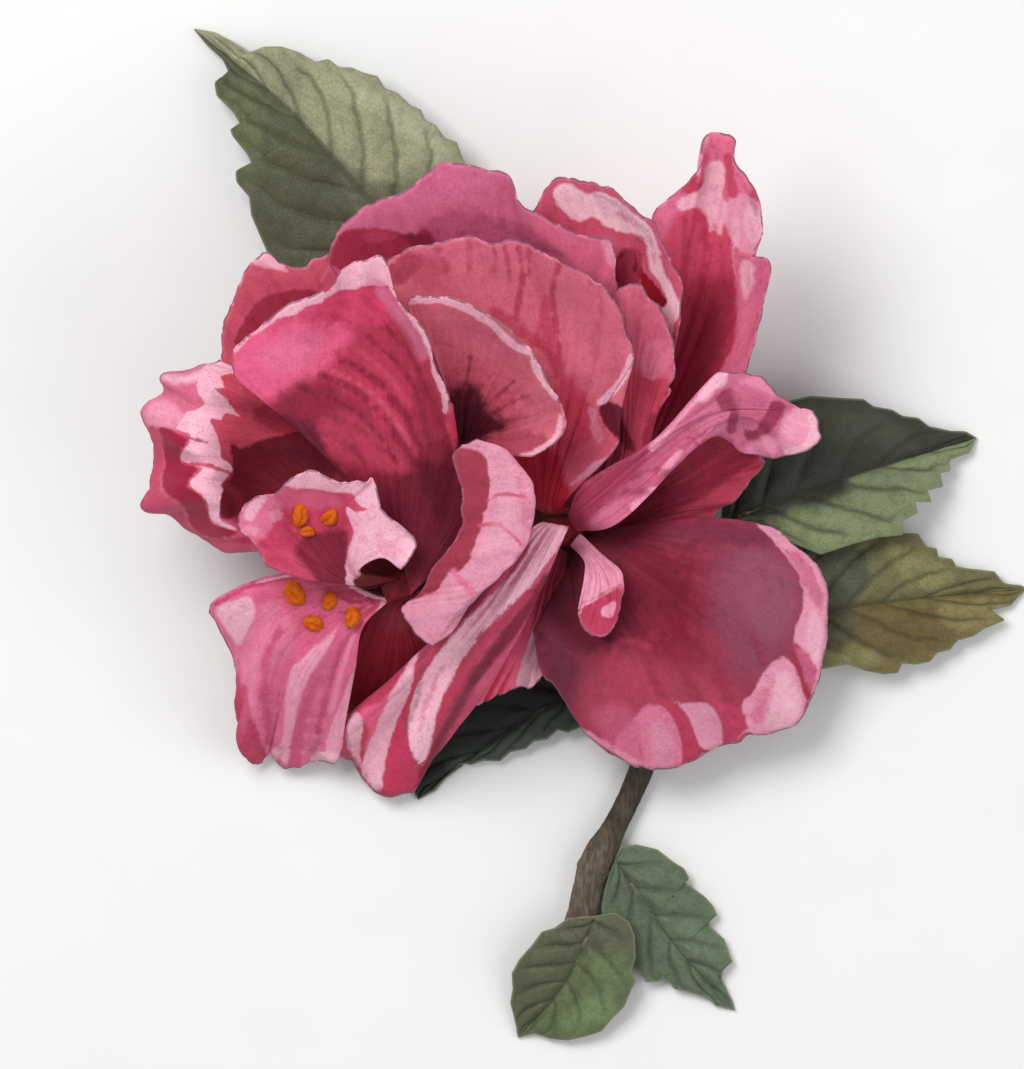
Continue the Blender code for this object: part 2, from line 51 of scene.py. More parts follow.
MIDDLE_OF_BLOOM = (584, 536)
CAMERA_HEIGHT = 0.6

camera_data = bpy.data.cameras.new("camera")
camera_data.type = "ORTHO"
camera_data.ortho_scale = PICTURE[1] * PIXEL
camera = bpy.data.objects.new("camera", camera_data)
camera.location = (
    (PICTURE[0] / 2 - MIDDLE_OF_BLOOM[0]) * PIXEL,
    (MIDDLE_OF_BLOOM[1] - PICTURE[1] / 2) * PIXEL,
    CAMERA_HEIGHT,
)
bpy.context.scene.collection.objects.link(camera)
bpy.context.scene.camera = camera
bpy.context.scene.view_settings.view_transform = "Standard"


# The woody twig
# A grey-brown shoot that runs under the bloom from its cut end to its tip. Its bark is finely ridged
# lengthwise and swells where a leaf stalk leaves it, and the cut end shows pale wood round a soft pith.
TWIG_PATH = [(-0.8, -74.5), (0.6, -67), (2.4, -61.5), (6.2, -54.5), (9.6, -47.5), (12, -40), (12.5, -28),
     (12, -14), (10.5, 2), (9, 15)]
TWIG_RADII = [3.0, 2.8, 3.0, 2.3, 2.3, 2.4, 2.4, 2.3, 2.2, 1.5]
TWIG_FLAT = 0.35
STALK_SEATS = [0.02, 0.19, 0.66, 0.70, 0.80, 0.84, 0.96]
WELD = 0.002 * MM
CAP_INSET = 0.25 * MM
CAP_SINK = 0.1 * MM


def paint(red, green, blue):
    """A colour given as on a painter's swatch card, 0 to 255, as amounts of light."""
    return (*(((part / 255 + 0.055) / 1.055) ** 2.4 for part in (red, green, blue)), 1)


class Value:
    """Something that varies over a surface. Arithmetic on it adds Math nodes to its finish."""

    def __init__(self, finish, socket):
        self.finish = finish
        self.socket = socket

    def math(self, operation, first, second=0.0):
        return self.finish.node("Math", {"operation": operation}, {0: first, 1: second})

    def __add__(self, other):
        return self.math("ADD", self, other)

    def __radd__(self, other):
        return self.math("ADD", other, self)

    def __sub__(self, other):
        return self.math("SUBTRACT", self, other)

    def __rsub__(self, other):
        return self.math("SUBTRACT", other, self)

    def __mul__(self, other):
        return self.math("MULTIPLY", self, other)

    def __rmul__(self, other):
        return self.math("MULTIPLY", other, self)

    def __abs__(self):
        return self.math("ABSOLUTE", self)

    def from_half(self):
        """How far the value's fraction is from a half, which is most, 0.5, at each whole number."""
        return abs(self.math("FRACT", self) - 0.5)


class Finish:
    """One material: a shader with a fixed gloss, whose colour and relief come from nodes."""

    def __init__(self, name, fixed):
        self.material = bpy.data.materials.new(name)
        self.material.use_nodes = True
        self.tree = self.material.node_tree
        self.shader = self.tree.nodes["Principled BSDF"]
        for socket, amount in fixed.items():
            self.shader.inputs[socket].default_value = amount

    def join(self, socket, value):
        if isinstance(value, Value):
            self.tree.links.new(socket, value.socket)
        else:
            socket.default_value = value

    def node(self, kind, settings=None, inputs=None, output=0):
        made = self.tree.nodes.new("ShaderNode" + kind)
        for name, setting in (settings or {}).items():
            if name == "stops":
                self.set_stops(made.color_ramp.elements, setting)
            else:
                setattr(made, name, setting)
        for key, value in (inputs or {}).items():
            self.join(made.inputs[key], value)
        return Value(self, made.outputs[output])

    def set_stops(self, elements, stops):
        while len(elements) < len(stops):
            elements.new(1)
        for element, (position, colour) in zip(elements, stops):
            element.position = position
            element.color = colour

    def parts(self, vector):
        """The three numbers of a vector."""
        first = self.node("SeparateXYZ", {}, {0: vector})
        return [Value(self, socket) for socket in first.socket.node.outputs]

    def place(self):
        """The piece's own coordinates, which its mesh carries."""
        return self.node("Attribute", {"attribute_name": "place"}, output="Vector")

    def spot(self):
        """Where a point of the surface is, in millimetres."""
        where = self.node("TexCoord", output="Object")
        return self.node("VectorMath", {"operation": "SCALE"}, {0: where, "Scale": 1 / MM})

    def stretch(self, vector, by, shift=(0, 0, 0)):
        return self.node("VectorMath", {"operation": "MULTIPLY_ADD"}, {0: vector, 1: by, 2: shift})

    def grain(self, vector, scale=1.0, detail=2.0, roughness=0.5):
        """Noise from 0 to 1."""
        values = {"Vector": vector, "Scale": scale, "Detail": detail, "Roughness": roughness}
        return self.node("TexNoise", {}, values)

    def between(self, value, low, high, top=1.0):
        """Rises smoothly from 0 where a value is low to top where it is high."""
        ends = {"Value": value, "From Min": low, "From Max": high, "To Max": top}
        return self.node("MapRange", {"interpolation_type": "SMOOTHSTEP"}, ends)

    def mix(self, factor, colour, other, blend="MIX"):
        kinds = {"data_type": "RGBA", "blend_type": blend}
        return self.node("Mix", kinds, {0: factor, 6: colour, 7: other}, output=2)

    def times(self, colour, red, green, blue):
        """The colour with each of its parts so many times as strong."""
        return self.mix(1.0, colour, (red, green, blue, 1), "MULTIPLY")

    def finish_with(self, colour, relief, depth, strength=0.6):
        """Sets the colour, and a relief so many millimetres deep."""
        self.join(self.shader.inputs["Base Color"], colour)
        bump = self.node("Bump", {}, {"Strength": strength, "Distance": depth * MM, "Height": relief})
        self.join(self.shader.inputs["Normal"], bump)
        return self.material


def add_piece(name, mesh_maker, materials):
    """A smooth-shaded object at the origin from a bmesh."""
    mesh = bpy.data.meshes.new(name)
    mesh_maker.to_mesh(mesh)
    mesh_maker.free()
    for finish in materials:
        mesh.materials.append(finish)
    mesh.shade_smooth()
    piece = bpy.data.objects.new(name, mesh)
    bpy.context.scene.collection.objects.link(piece)
    return piece


def declare(piece, node):
    """The piece rides on the part's one body, in the place of the solid of that node."""
    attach(piece, "root")
    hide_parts(node)


def vectors(points):
    return [Vector(point) for point in points]


def along(points, share):
    """The point at a share, 0 to 1, of the smooth curve through some points."""
    last = len(points) - 1
    place = min(max(share, 0) * last, last - 1e-9)
    i = int(place)
    t = place - i
    p1, p2 = points[i], points[i + 1]
    p0 = points[i - 1] if i > 0 else 2 * p1 - p2
    p3 = points[i + 2] if i + 2 <= last else 2 * p2 - p1
    cubic = 3 * p1 - p0 - 3 * p2 + p3
    return 0.5 * (2 * p1 + (p2 - p0) * t + (2 * p0 - 5 * p1 + 4 * p2 - p3) * t * t + cubic * t * t * t)


def direction_at(path, share):
    step = 0.01
    return (along(path, min(share + step, 1)) - along(path, max(share - step, 0))).normalized()


def number_along(numbers, share):
    return along([Vector((number, 0, 0)) for number in numbers], share).x


def tube(path, radii, sides, rings, relief=None, floor=None):
    """A round stalk along a smooth path. Relief says how far its skin stands out, by angle and share."""
    path = vectors(path)
    stalk = bmesh.new()
    bmesh.ops.create_grid(stalk, x_segments=sides, y_segments=rings, size=0.5)
    for vert in stalk.verts:
        angle = (vert.co.x + 0.5) * 2 * math.pi
        share = vert.co.y + 0.5
        forward = direction_at(path, share)
        side = forward.cross(Vector((0.2, 0.1, 1))).normalized()
        outward = side * math.cos(angle) + side.cross(forward) * math.sin(angle)
        radius = number_along(radii, share) + (relief(angle, share) if relief else 0)
        vert.co = along(path, share) + radius * outward
        if floor is not None:
            vert.co.z = max(vert.co.z, floor)
        vert.co *= MM
    bmesh.ops.remove_doubles(stalk, verts=stalk.verts, dist=WELD)
    return stalk


def close_ends(stalk):
    """Caps the open ends, each with a shallow dish, and returns the caps' faces."""
    caps = bmesh.ops.holes_fill(stalk, edges=stalk.edges, sides=0)["faces"]
    dish = bmesh.ops.inset_individual(stalk, faces=caps, thickness=CAP_INSET, depth=-CAP_SINK)["faces"]
    bmesh.ops.recalc_face_normals(stalk, faces=stalk.faces)
    return [*caps, *dish]


def seat_on(path, radii, share, toward, gap):
    """The point just off the surface of a round stem, on the side that faces another point."""
    centre, direction = along(path, share), direction_at(path, share)
    out = Vector(toward) - centre
    out = (out - out.dot(direction) * direction).normalized()
    return centre + out * (number_along(radii, share) + gap), out


def twig_line():
    return [Vector((x, y, radius - TWIG_FLAT)) for (x, y), radius in zip(TWIG_PATH, TWIG_RADII)]


def branch_path(share, path):
    """The way of a stalk that grows out of the twig, square to it at first."""
    seat, out = seat_on(twig_line(), TWIG_RADII, share, path[0], 0)
    return [seat, seat + out * 1.2, *vectors(path)]


def bark_relief(angle, share):
    ridges = noise.noise(Vector((3.2 * math.cos(angle), 3.2 * math.sin(angle), share * 16)))
    flecks = noise.noise(Vector((7 * math.cos(angle), 7 * math.sin(angle), share * 70)))
    swelling = sum(math.exp(-(((share - seat) / 0.012) ** 2)) for seat in STALK_SEATS)
    return 0.16 * ridges + 0.09 * flecks + 0.22 * min(swelling, 1) - 0.05


def bark_finish():
    finish = Finish("bark", {"Roughness": 0.82, "Specular IOR Level": 0.25})
    spot = finish.spot()
    fibres = finish.grain(finish.stretch(spot, (1.6, 0.22, 1.6)), 1.0, 5.0, 0.65)
    patches = finish.grain(spot, 0.22, 3.0)
    long_spot = finish.stretch(spot, (0.7, 0.45, 0.7))
    pores = finish.node("TexVoronoi", {"feature": "F1"}, {"Vector": long_spot, "Scale": 1.0})
    grey = finish.mix(finish.between(patches, 0.4, 0.62), paint(78, 70, 58), paint(98, 86, 76))
    colour = finish.mix(finish.between(fibres, 0.42, 0.6, 0.75), grey, paint(58, 50, 41))
    colour = finish.mix(finish.between(pores, 0.16, 0.08, 0.35), colour, paint(132, 118, 100))
    _, along_twig, _ = finish.parts(spot)
    sunlit = finish.times(colour, 1.4, 1.38, 1.36)
    shaded = finish.times(colour, 0.62, 0.63, 0.6)
    colour = finish.mix(finish.between(along_twig, -66, -50), sunlit, shaded)
    return finish.finish_with(colour, fibres + pores * 0.2, 0.35)


def cut_wood_finish():
    finish = Finish("cut wood", {"Roughness": 0.75})
    spot = finish.spot()
    pith = (*TWIG_PATH[0], TWIG_RADII[0] - TWIG_FLAT)
    from_pith = finish.node("VectorMath", {"operation": "DISTANCE"}, {0: spot, 1: pith}, output="Value")
    rings = finish.grain(spot, 6.0, 2.0)
    round_pith = finish.between(from_pith + rings * 0.5, 0.8, 1.2)
    wood = finish.mix(round_pith, paint(205, 190, 150), paint(176, 156, 112))
    rim = finish.mix(finish.between(from_pith + rings * 0.3, 2.4, 2.8), wood, paint(92, 104, 62))
    return finish.finish_with(rim, rings, 0.1)


twig_mesh = tube(twig_line(), TWIG_RADII, 56, 300, bark_relief, floor=0)
for face in close_ends(twig_mesh):
    face.material_index = 1
twig = add_piece("twig_bark", twig_mesh, [bark_finish(), cut_wood_finish()])
declare(twig, "twig")


# The leaves
# Six toothed blades, each folded a little along its midrib, with side veins sunk in the upper face so that
# the blade is quilted between them. A round stalk joins each to the twig and runs on under the midrib.
LEAF_THICKNESS = 0.4
LEAF_LOWEST = 0.35
PETIOLE_RADIUS = 0.85
LEAF_COLUMNS = 48
LEAF_ROWS = 150


@dataclass
class Mark:
    """A marking: the colour inside a closed outline, or along a line of some width, with a soft edge."""

    colour: tuple
    soft: float
    points: list
    width: float = 0
    strength: float = 1


def smooth_outline(mark):
    """The marking's outline or line as a fine row of places."""
    corners = vectors(mark.points)
    if mark.width == 0:
        corners = [corners[-1], *corners, corners[0], corners[1]]
    spans = len(corners) - 1
    first, last = (1, spans - 1) if mark.width == 0 else (0, spans)
    steps = 5 * (last - first)
    shares = [(first + (last - first) * i / steps) / spans for i in range(steps + 1)]
    return np.array([along(corners, share)[:2] for share in shares])


def distance_to(mark, spots):
    """How far each place is from a marking, in millimetres, below 0 inside it."""
    outline = smooth_outline(mark)
    start, side = outline[:-1], outline[1:] - outline[:-1]
    offset = spots[:, None] - start[None]
    share = np.clip((offset * side).sum(-1) / np.maximum((side * side).sum(-1), 1e-12), 0, 1)
    distance = np.linalg.norm(offset - share[..., None] * side, axis=-1).min(1)
    if mark.width:
        return distance - mark.width / 2
    rise = np.where(side[:, 1] == 0, 1e-12, side[:, 1])
    across = start[:, 0] + side[:, 0] * (spots[:, 1:] - start[:, 1]) / rise
    passed = (start[:, 1] > spots[:, 1:]) != (outline[1:, 1] > spots[:, 1:])
    inside = (passed & (spots[:, :1] < across)).sum(1) % 2 == 1
    return np.where(inside, -distance, distance)


def carry(piece, places, marks):
    """Gives a mesh its own coordinates, and its distance to each marking."""
    mesh = piece.data
    own = mesh.attributes.new("place", "FLOAT_VECTOR", "POINT")
    own.data.foreach_set("vector", np.array(places, dtype=np.float32).ravel())
    spots = np.empty(len(mesh.vertices) * 3, dtype=np.float32)
    mesh.vertices.foreach_get("co", spots)
    spots = spots.reshape(-1, 3)[:, :2].astype(float) / MM
    for i, mark in enumerate(marks):
        layer = mesh.attributes.new(f"mark_{i}", "FLOAT", "POINT")
        layer.data.foreach_set("value", distance_to(mark, spots).astype(np.float32))


def paint_marks(finish, colour, marks, feather):
    """Lays the markings over a colour in order. Feather, about -1 to 1, roughens their edges."""
    for i, mark in enumerate(marks):
        distance = finish.node("Attribute", {"attribute_name": f"mark_{i}"}, output="Fac")
        edge = distance + feather * (0.45 + 0.9 * mark.soft)
        inside = finish.between(edge, mark.soft, -mark.soft, mark.strength)
        colour = finish.mix(inside, colour, mark.colour)
    return colour


def thicken(piece, thickness, edge_share):
    """Gives a sheet its thickness, which falls towards its margin as the weights in its group say."""
    solidify = piece.modifiers.new("thickness", "SOLIDIFY")
    solidify.thickness = thickness * MM
    solidify.offset = 0
    solidify.vertex_group = "body"
    solidify.thickness_vertex_group = edge_share


def weigh(piece, weights):
    group = piece.vertex_groups.new(name="body")
    for i, weight in enumerate(weights):
        group.add([i], weight, "REPLACE")


@dataclass
class Leaf:
    """One leaf. seat is the share of the twig where its stalk grows; all its lines run from base to tip."""

    name: str
    slot: str
    seat: float
    petiole: list
    midrib: list
    left: list
    right: list
    droop: float
    left_colour: tuple
    right_colour: tuple
    vein_colour: tuple
    veins: int = 7
    sweep: float = 2.2
    marks: list = field(default_factory=list)
    vein_strength: float = 0.55


def margin_places(leaf, side):
    """Where each row of the blade meets its toothed margin, at even steps along it."""
    corners = [Vector(point[:2]) for point in (leaf.midrib[0], *side, leaf.midrib[-1])]
    lengths = [(b - a).length for a, b in zip(corners, corners[1:])]
    places = []
    for row in range(LEAF_ROWS + 1):
        way = sum(lengths) * row / LEAF_ROWS
        i = 0
        while i < len(lengths) - 1 and way > lengths[i]:
            way -= lengths[i]
            i += 1
        places.append(corners[i].lerp(corners[i + 1], way / lengths[i]))
    return places


def quilting(leaf, s, t, width):
    """Height of the blade between its veins: the side veins and the midrib lie in grooves."""
    phase = t * leaf.veins - abs(s) * leaf.sweep + 0.5
    from_vein = abs(phase % 1 - 0.5) * 2
    swell = 0.75 * (1 - math.exp(-((from_vein / 0.35) ** 2))) * min(abs(s) * 5, 1) * (1 - s ** 4)
    groove = 0.5 * math.exp(-((s * width / 0.9) ** 2))
    return swell - groove


def leaf_blade(leaf):
    """The blade as a sheet: columns run from margin to margin, rows from base to tip."""
    blade = bmesh.new()
    bmesh.ops.create_grid(blade, x_segments=LEAF_COLUMNS, y_segments=LEAF_ROWS, size=0.5)
    margins = {-1: margin_places(leaf, leaf.left), 1: margin_places(leaf, leaf.right)}
    midrib = vectors(leaf.midrib)
    places = []
    for vert in blade.verts:
        s, t = vert.co.x * 2, vert.co.y + 0.5
        rib = along(midrib, t)
        edge = margins[-1 if s < 0 else 1][round(t * LEAF_ROWS)]
        width = (edge - rib.xy).length
        point = rib.xy.lerp(edge, abs(s))
        away = width * abs(s)
        z = rib.z - leaf.droop * (away / 20) ** 2 + quilting(leaf, s, t, width)
        z += 0.8 * noise.noise(Vector((point.x / 9, point.y / 9, leaf.seat * 10))) * min(away / 6, 1)
        vert.co = Vector((point.x, point.y, max(z, LEAF_THICKNESS / 2))) * MM
        places.append((s, t, width - away))
    return blade, places


def petiole_path(leaf):
    """From the twig up to the blade's base and on under the midrib, ever thinner."""
    under = [along(vectors(leaf.midrib), share) - Vector((0, 0, 0.75)) for share in (0.15, 0.35, 0.6, 0.85)]
    for point in under:
        point.z = max(point.z, LEAF_LOWEST)
    return [*branch_path(leaf.seat, leaf.petiole), *under]


def leaf_finish(leaf):
    finish = Finish(leaf.name, {"Roughness": 0.58, "Specular IOR Level": 0.3, "Sheen Weight": 0.12})
    place, spot = finish.place(), finish.spot()
    s, t, margin = finish.parts(place)
    blotches = finish.grain(spot, 0.16, 4.0, 0.6)
    fine = finish.grain(spot, 2.2, 3.0, 0.6)
    # Painted light and shade: each half of the folded blade has its own colour, and where the two differ
    # the paler half is painted as lit and the darker as in shade.
    half = finish.between(s + (blotches - 0.5) * 0.03, -0.012, 0.012)
    colour = finish.mix(half, leaf.left_colour, leaf.right_colour)
    colour = paint_marks(finish, colour, leaf.marks, (blotches - 0.5) * 3.0)
    shade = finish.between(blotches + (fine - 0.5) * 0.3, 0.3, 0.7)
    colour = finish.mix(shade * 0.35, colour, finish.times(colour, 1.3, 1.35, 1.2))
    phase = t * leaf.veins - abs(s) * leaf.sweep + (blotches - 0.5) * 0.35
    from_vein = phase.from_half()
    side_vein = finish.between(from_vein, 0.34, 0.5) * finish.between(margin, 0.6, 4.0)
    net = finish.node("TexVoronoi", {"feature": "DISTANCE_TO_EDGE"}, {"Vector": spot, "Scale": 1.1})
    mesh_line = finish.between(net, 0.09, 0.02)
    wash = finish.grain(spot, 0.5, 4.0, 0.65)
    shaded = finish.times(colour, 0.66, 0.66, 0.68)
    colour = finish.mix(finish.between(wash, 0.54, 0.4, 0.55), colour, shaded)
    colour = finish.mix(side_vein * leaf.vein_strength, colour, leaf.vein_colour)
    colour = finish.mix(mesh_line * 0.12, colour, leaf.vein_colour)
    colour = finish.mix(finish.between(abs(s), 0.05, 0.02, 0.75), colour, leaf.vein_colour)
    colour = finish.mix(finish.between(margin, 0.55, 0.1, 0.4), colour, paint(150, 150, 118))
    return finish.finish_with(colour, fine * 0.5 - mesh_line * 0.4 - side_vein, 0.25)


def stalk_finish(leaf):
    finish = Finish(leaf.name + " stalk", {"Roughness": 0.6, "Sheen Weight": 0.1})
    streaks = finish.grain(finish.stretch(finish.spot(), (1.2, 1.2, 3)), 0.8, 4.0)
    colour = finish.mix(finish.between(streaks, 0.35, 0.65), leaf.vein_colour, paint(112, 108, 70))
    return finish.finish_with(colour, streaks, 0.2)


def grow_leaf(leaf):
    blade, places = leaf_blade(leaf)
    material = leaf_finish(leaf)
    piece = add_piece(leaf.name + "_blade", blade, [material])
    carry(piece, places, leaf.marks)
    weigh(piece, [min(0.35 + margin / 3, 1) for _, _, margin in places])
    thicken(piece, LEAF_THICKNESS, 0.5)
    declare(piece, leaf.name)

    path = petiole_path(leaf)
    radii = [PETIOLE_RADIUS + 0.15, PETIOLE_RADIUS, PETIOLE_RADIUS, 0.6, 0.4, 0.2]
    stalk_mesh = tube(path, radii, 16, 70, floor=0.02)
    close_ends(stalk_mesh)
    stalk = add_piece(leaf.name + "_stalk", stalk_mesh, [stalk_finish(leaf)])
    declare(stalk, leaf.name)


grow_leaf(Leaf(
    "leaf_top_left", "sage_leaf",
    0.96, [(5, 20, 2.4), (0, 27, 3.8), (-8, 36, 7), (-19, 43, 10.5), (-27, 47, 12)],
    [(-23, 45.5, 12), (-40, 63, 12.5), (-56, 81, 9), (-74, 96.3, 0.35)],
    [(-32, 43), (-42, 43), (-52, 47), (-59.5, 52.5), (-61.5, 57), (-63.2, 61), (-63.6, 64.5), (-66, 67.2),
     (-66.2, 69.3), (-62.4, 69.6), (-64, 72.6), (-66.8, 76), (-67.2, 77.3), (-64.6, 77.1), (-66.5, 80.4),
     (-69.8, 83.6), (-70.2, 86.2), (-66.8, 86.8), (-68.5, 90.5), (-71.5, 93.2)],
    [(-19, 50), (-17, 57), (-18.5, 65), (-23, 71.5), (-24.2, 74.8), (-26.5, 75.6), (-28.2, 78),
     (-30.2, 79), (-31, 81), (-33, 81.8), (-35.5, 84.2), (-37.8, 85), (-39.2, 87.3), (-42, 88),
     (-44.2, 89), (-46.5, 89), (-48.5, 90.6), (-51, 90), (-54, 91.8), (-57.5, 93), (-60.8, 92.9),
     (-63.5, 91.8), (-66.6, 93.8), (-70, 95.6)],
    4.0, paint(78, 80, 56), paint(144, 144, 114), paint(66, 68, 46),
    veins=8, sweep=2.6,
    marks=[
        Mark(paint(100, 104, 70), 2.0, [(-64, 66), (-66, 76), (-68, 84), (-63, 86), (-61, 74)],
             strength=0.6),
        Mark(paint(74, 76, 56), 2.5, [(-58, 53), (-44, 62), (-40, 66), (-50, 72), (-57, 64)],
             strength=0.7),
        Mark(paint(98, 100, 76), 2.0, [(-40, 60), (-34, 64), (-30, 68), (-40, 67.5), (-46, 70),
             (-44, 64)]),
        Mark(paint(172, 174, 144), 2.0, [(-45, 87), (-34, 81), (-26, 73), (-30, 72), (-38, 80),
             (-46, 84)], strength=0.7),
        Mark(paint(112, 114, 90), 3.0, [(-55, 80), (-62, 90), (-70, 94), (-60, 92), (-54, 88)],
             strength=0.7),
    ],
))
grow_leaf(Leaf(
    "leaf_right_upper", "dark_leaf",
    0.84, [(17, -4, 4), (24, 0, 9), (30, 4, 13)],
    [(26, 2, 13), (40, 8, 14), (56, 13, 9), (74.5, 18.6, 0.35)],
    [(27, 12), (33, 20), (38, 25.5), (43, 26.6), (49, 26.2), (53, 26), (55, 24.6), (58.5, 24),
     (60.5, 22.8), (63.5, 22.4), (65.5, 20.8), (69.5, 20), (72.5, 19.8)],
    [(34, 1), (40, -1.5), (45, -3.5), (51, -1.5), (56, -0.2), (60.5, 0.2), (60.5, 2.8), (63.4, 4.4),
     (62.8, 6.6), (66, 6.4), (65.2, 8.6), (68.2, 9.4), (67.6, 12), (69.6, 12.4), (69.4, 14.4),
     (73.2, 15.8)],
    4.0, paint(46, 48, 35), paint(122, 132, 94), paint(40, 44, 31),
    veins=6, sweep=1.6,
    marks=[
        Mark(paint(48, 50, 38), 2.0, [(26, 4), (36, 14), (46, 13), (50, 8), (38, 3.5), (30, 2)]),
        Mark(paint(68, 72, 54), 2.5, [(40, 24), (50, 25), (60, 21), (62, 17), (50, 18), (44, 21)],
             strength=0.7),
        Mark(paint(122, 130, 96), 2.0, [(40, 3), (50, 7), (58, 8), (56, 3), (48, 0)], strength=0.5),
        Mark(paint(116, 122, 96), 1.5, [(52, 10), (66, 14), (68, 12), (60, 10), (54, 9)], strength=0.7),
    ],
))
grow_leaf(Leaf(
    "leaf_right_lower", "olive_leaf",
    0.70, [(19, -20.5, 3.5), (26, -17, 6), (33, -15.5, 7)],
    [(29, -16, 7), (45, -14, 8), (62, -12, 5), (84, -10, 0.35)],
    [(32, -6), (40, -1.5), (50, 0.2), (58, 0.6), (63.5, 0.4), (65, -2), (67, -2.4), (67.2, -4),
     (70, -4.4), (70.6, -5.8), (74, -6.3), (78, -6.8), (79.6, -9), (83, -9.4)],
    [(35, -23.5), (44, -25.5), (50, -24.3), (53.5, -25.6), (57, -26.2), (59.6, -26), (60.4, -24.2),
     (63, -24.4), (65.8, -23.8), (67, -22.2), (69.5, -21.6), (71, -19.8), (74, -19), (76, -17.6),
     (80, -16), (76.6, -14.2), (81, -13.2)],
    4.0, paint(102, 98, 64), paint(108, 96, 54), paint(64, 60, 34),
    veins=7, sweep=1.8,
    marks=[
        Mark(paint(78, 80, 62), 0.8, [(40, -1), (47, -2), (52, -1), (54, -6), (52, -12), (46, -15),
             (42, -12)]),
        Mark(paint(76, 74, 56), 0.8, [(46, -14), (51, -13), (52, -19), (48, -22), (44, -19)],
             strength=0.8),
        Mark(paint(98, 82, 44), 1.2, [(53, -12), (62, -13), (70, -14), (70, -20), (60, -23), (52, -21)],
             strength=0.85),
        # Painted highlights: this pale patch and the two pale ones below it.
        Mark(paint(130, 124, 80), 1.5, [(58, -2), (66, -4), (70, -8), (66, -11), (60, -8)],
             strength=0.75),
        Mark(paint(144, 134, 86), 0.8, [(68, -13), (77, -12), (80, -15), (72, -18), (68, -16)],
             strength=0.5),
        Mark(paint(128, 122, 80), 1.5, [(44, -24), (52, -25), (56, -23), (48, -21)]),
    ],
))
grow_leaf(Leaf(
    "leaf_lower_left", "dark_leaf",
    0.66, [(6, -27, 3.4), (1.5, -28.5, 4)],
    [(4, -27.8, 4), (-8, -33, 4), (-20, -41, 2), (-31.5, -50, 0.35)],
    [(0, -36), (-3, -37.4), (-5, -36.8), (-7, -38.6), (-9.5, -39), (-11, -40.4), (-14, -41), (-16, -42.8),
     (-19, -42.6), (-21.4, -43.4), (-23.6, -43), (-26, -45.6), (-28.4, -48.4)],
    [(-2, -23), (-10, -23.5), (-18, -27), (-24, -32.5), (-30, -40), (-33.5, -46.5)],
    2.5, paint(46, 54, 44), paint(24, 30, 24), paint(16, 22, 16),
    veins=6, sweep=1.8,
    marks=[
        Mark(paint(20, 26, 20), 2.0, [(-22, -33), (-12, -29), (-4, -30), (-10, -34), (-20, -40)]),
        Mark(paint(74, 86, 72), 1.5, [(-26, -43), (-16, -42), (-6, -38), (-12, -38), (-22, -41)],
             strength=0.5),
    ],
))
grow_leaf(Leaf(
    "leaf_front_low", "sage_leaf",
    0.02, [(-0.6, -74.9, 6.7), (0.2, -77.5, 6.0)],
    [(2, -72.3, 8.0), (-1.5, -81, 6.8), (-6, -88, 3.6), (-12.5, -95.2, 0.35)],
    [(6, -71.6), (8.6, -73.4), (9.6, -76), (9.8, -80), (9.0, -82.6), (9.8, -84.6), (8.6, -87),
     (7.6, -89.4), (5.4, -91.6), (3.4, -94), (0.5, -95), (-3, -95.8), (-6.4, -95.4), (-9.2, -94.4)],
    [(-3, -72.6), (-5.5, -74.4), (-8, -75.2), (-9.6, -77.4), (-12.3, -80.5), (-13.7, -83), (-13.5, -86),
     (-14, -88.6), (-13.2, -91.5)],
    3.0, paint(88, 100, 66), paint(82, 86, 60), paint(56, 66, 40),
    veins=6, sweep=1.7,
    marks=[
        Mark(paint(86, 84, 66), 2.0, [(-3, -72), (8, -72), (9, -79), (1, -79), (-5, -77)], strength=0.8),
        Mark(paint(114, 136, 92), 2.2, [(-1, -88), (5, -87), (6, -91), (0, -94), (-4, -92)],
             strength=0.75),
        Mark(paint(108, 128, 84), 2.2, [(2, -81), (7, -80), (8, -84), (3, -86)], strength=0.6),
    ],
    vein_strength=0.4,
))
grow_leaf(Leaf(
    "leaf_back_low", "sage_leaf",
    0.19, [(7.0, -66, 1.9), (9.5, -68.5, 1.9)],
    [(5.9, -61.5, 2.7), (13, -72, 3.2), (20, -81, 2.2), (28.6, -90, 0.35)],
    [(7.0, -58.8), (10, -58.6), (14, -59.6), (16.5, -61.6), (19, -63.2), (20, -65), (18.4, -65.4),
     (20.4, -66.6), (23, -68.6), (24.6, -70.4), (25.2, -72), (23.4, -72.4), (24.2, -74.4), (26.6, -76.6),
     (28.2, -80.8), (26.4, -82), (26, -84), (28, -88)],
    [(4.4, -65.5), (3.9, -67.5), (3.3, -71), (4.4, -76), (7.5, -80.5), (10.5, -82.6), (11.8, -84.8),
     (14, -84.6), (15.2, -83.6), (17.2, -86), (20, -86.6), (23.5, -87.6), (25, -89.2)],
    2.0, paint(90, 104, 80), paint(86, 100, 78), paint(56, 68, 50),
    veins=6, sweep=1.7,
    marks=[
        Mark(paint(82, 92, 78), 1.5, [(5, -61), (11, -66), (14, -71), (10, -71), (5, -66)], strength=0.7),
        Mark(paint(102, 118, 92), 2.0, [(15, -73), (24, -75), (26, -80), (18, -80)], strength=0.6),
    ],
    vein_strength=0.45,
))


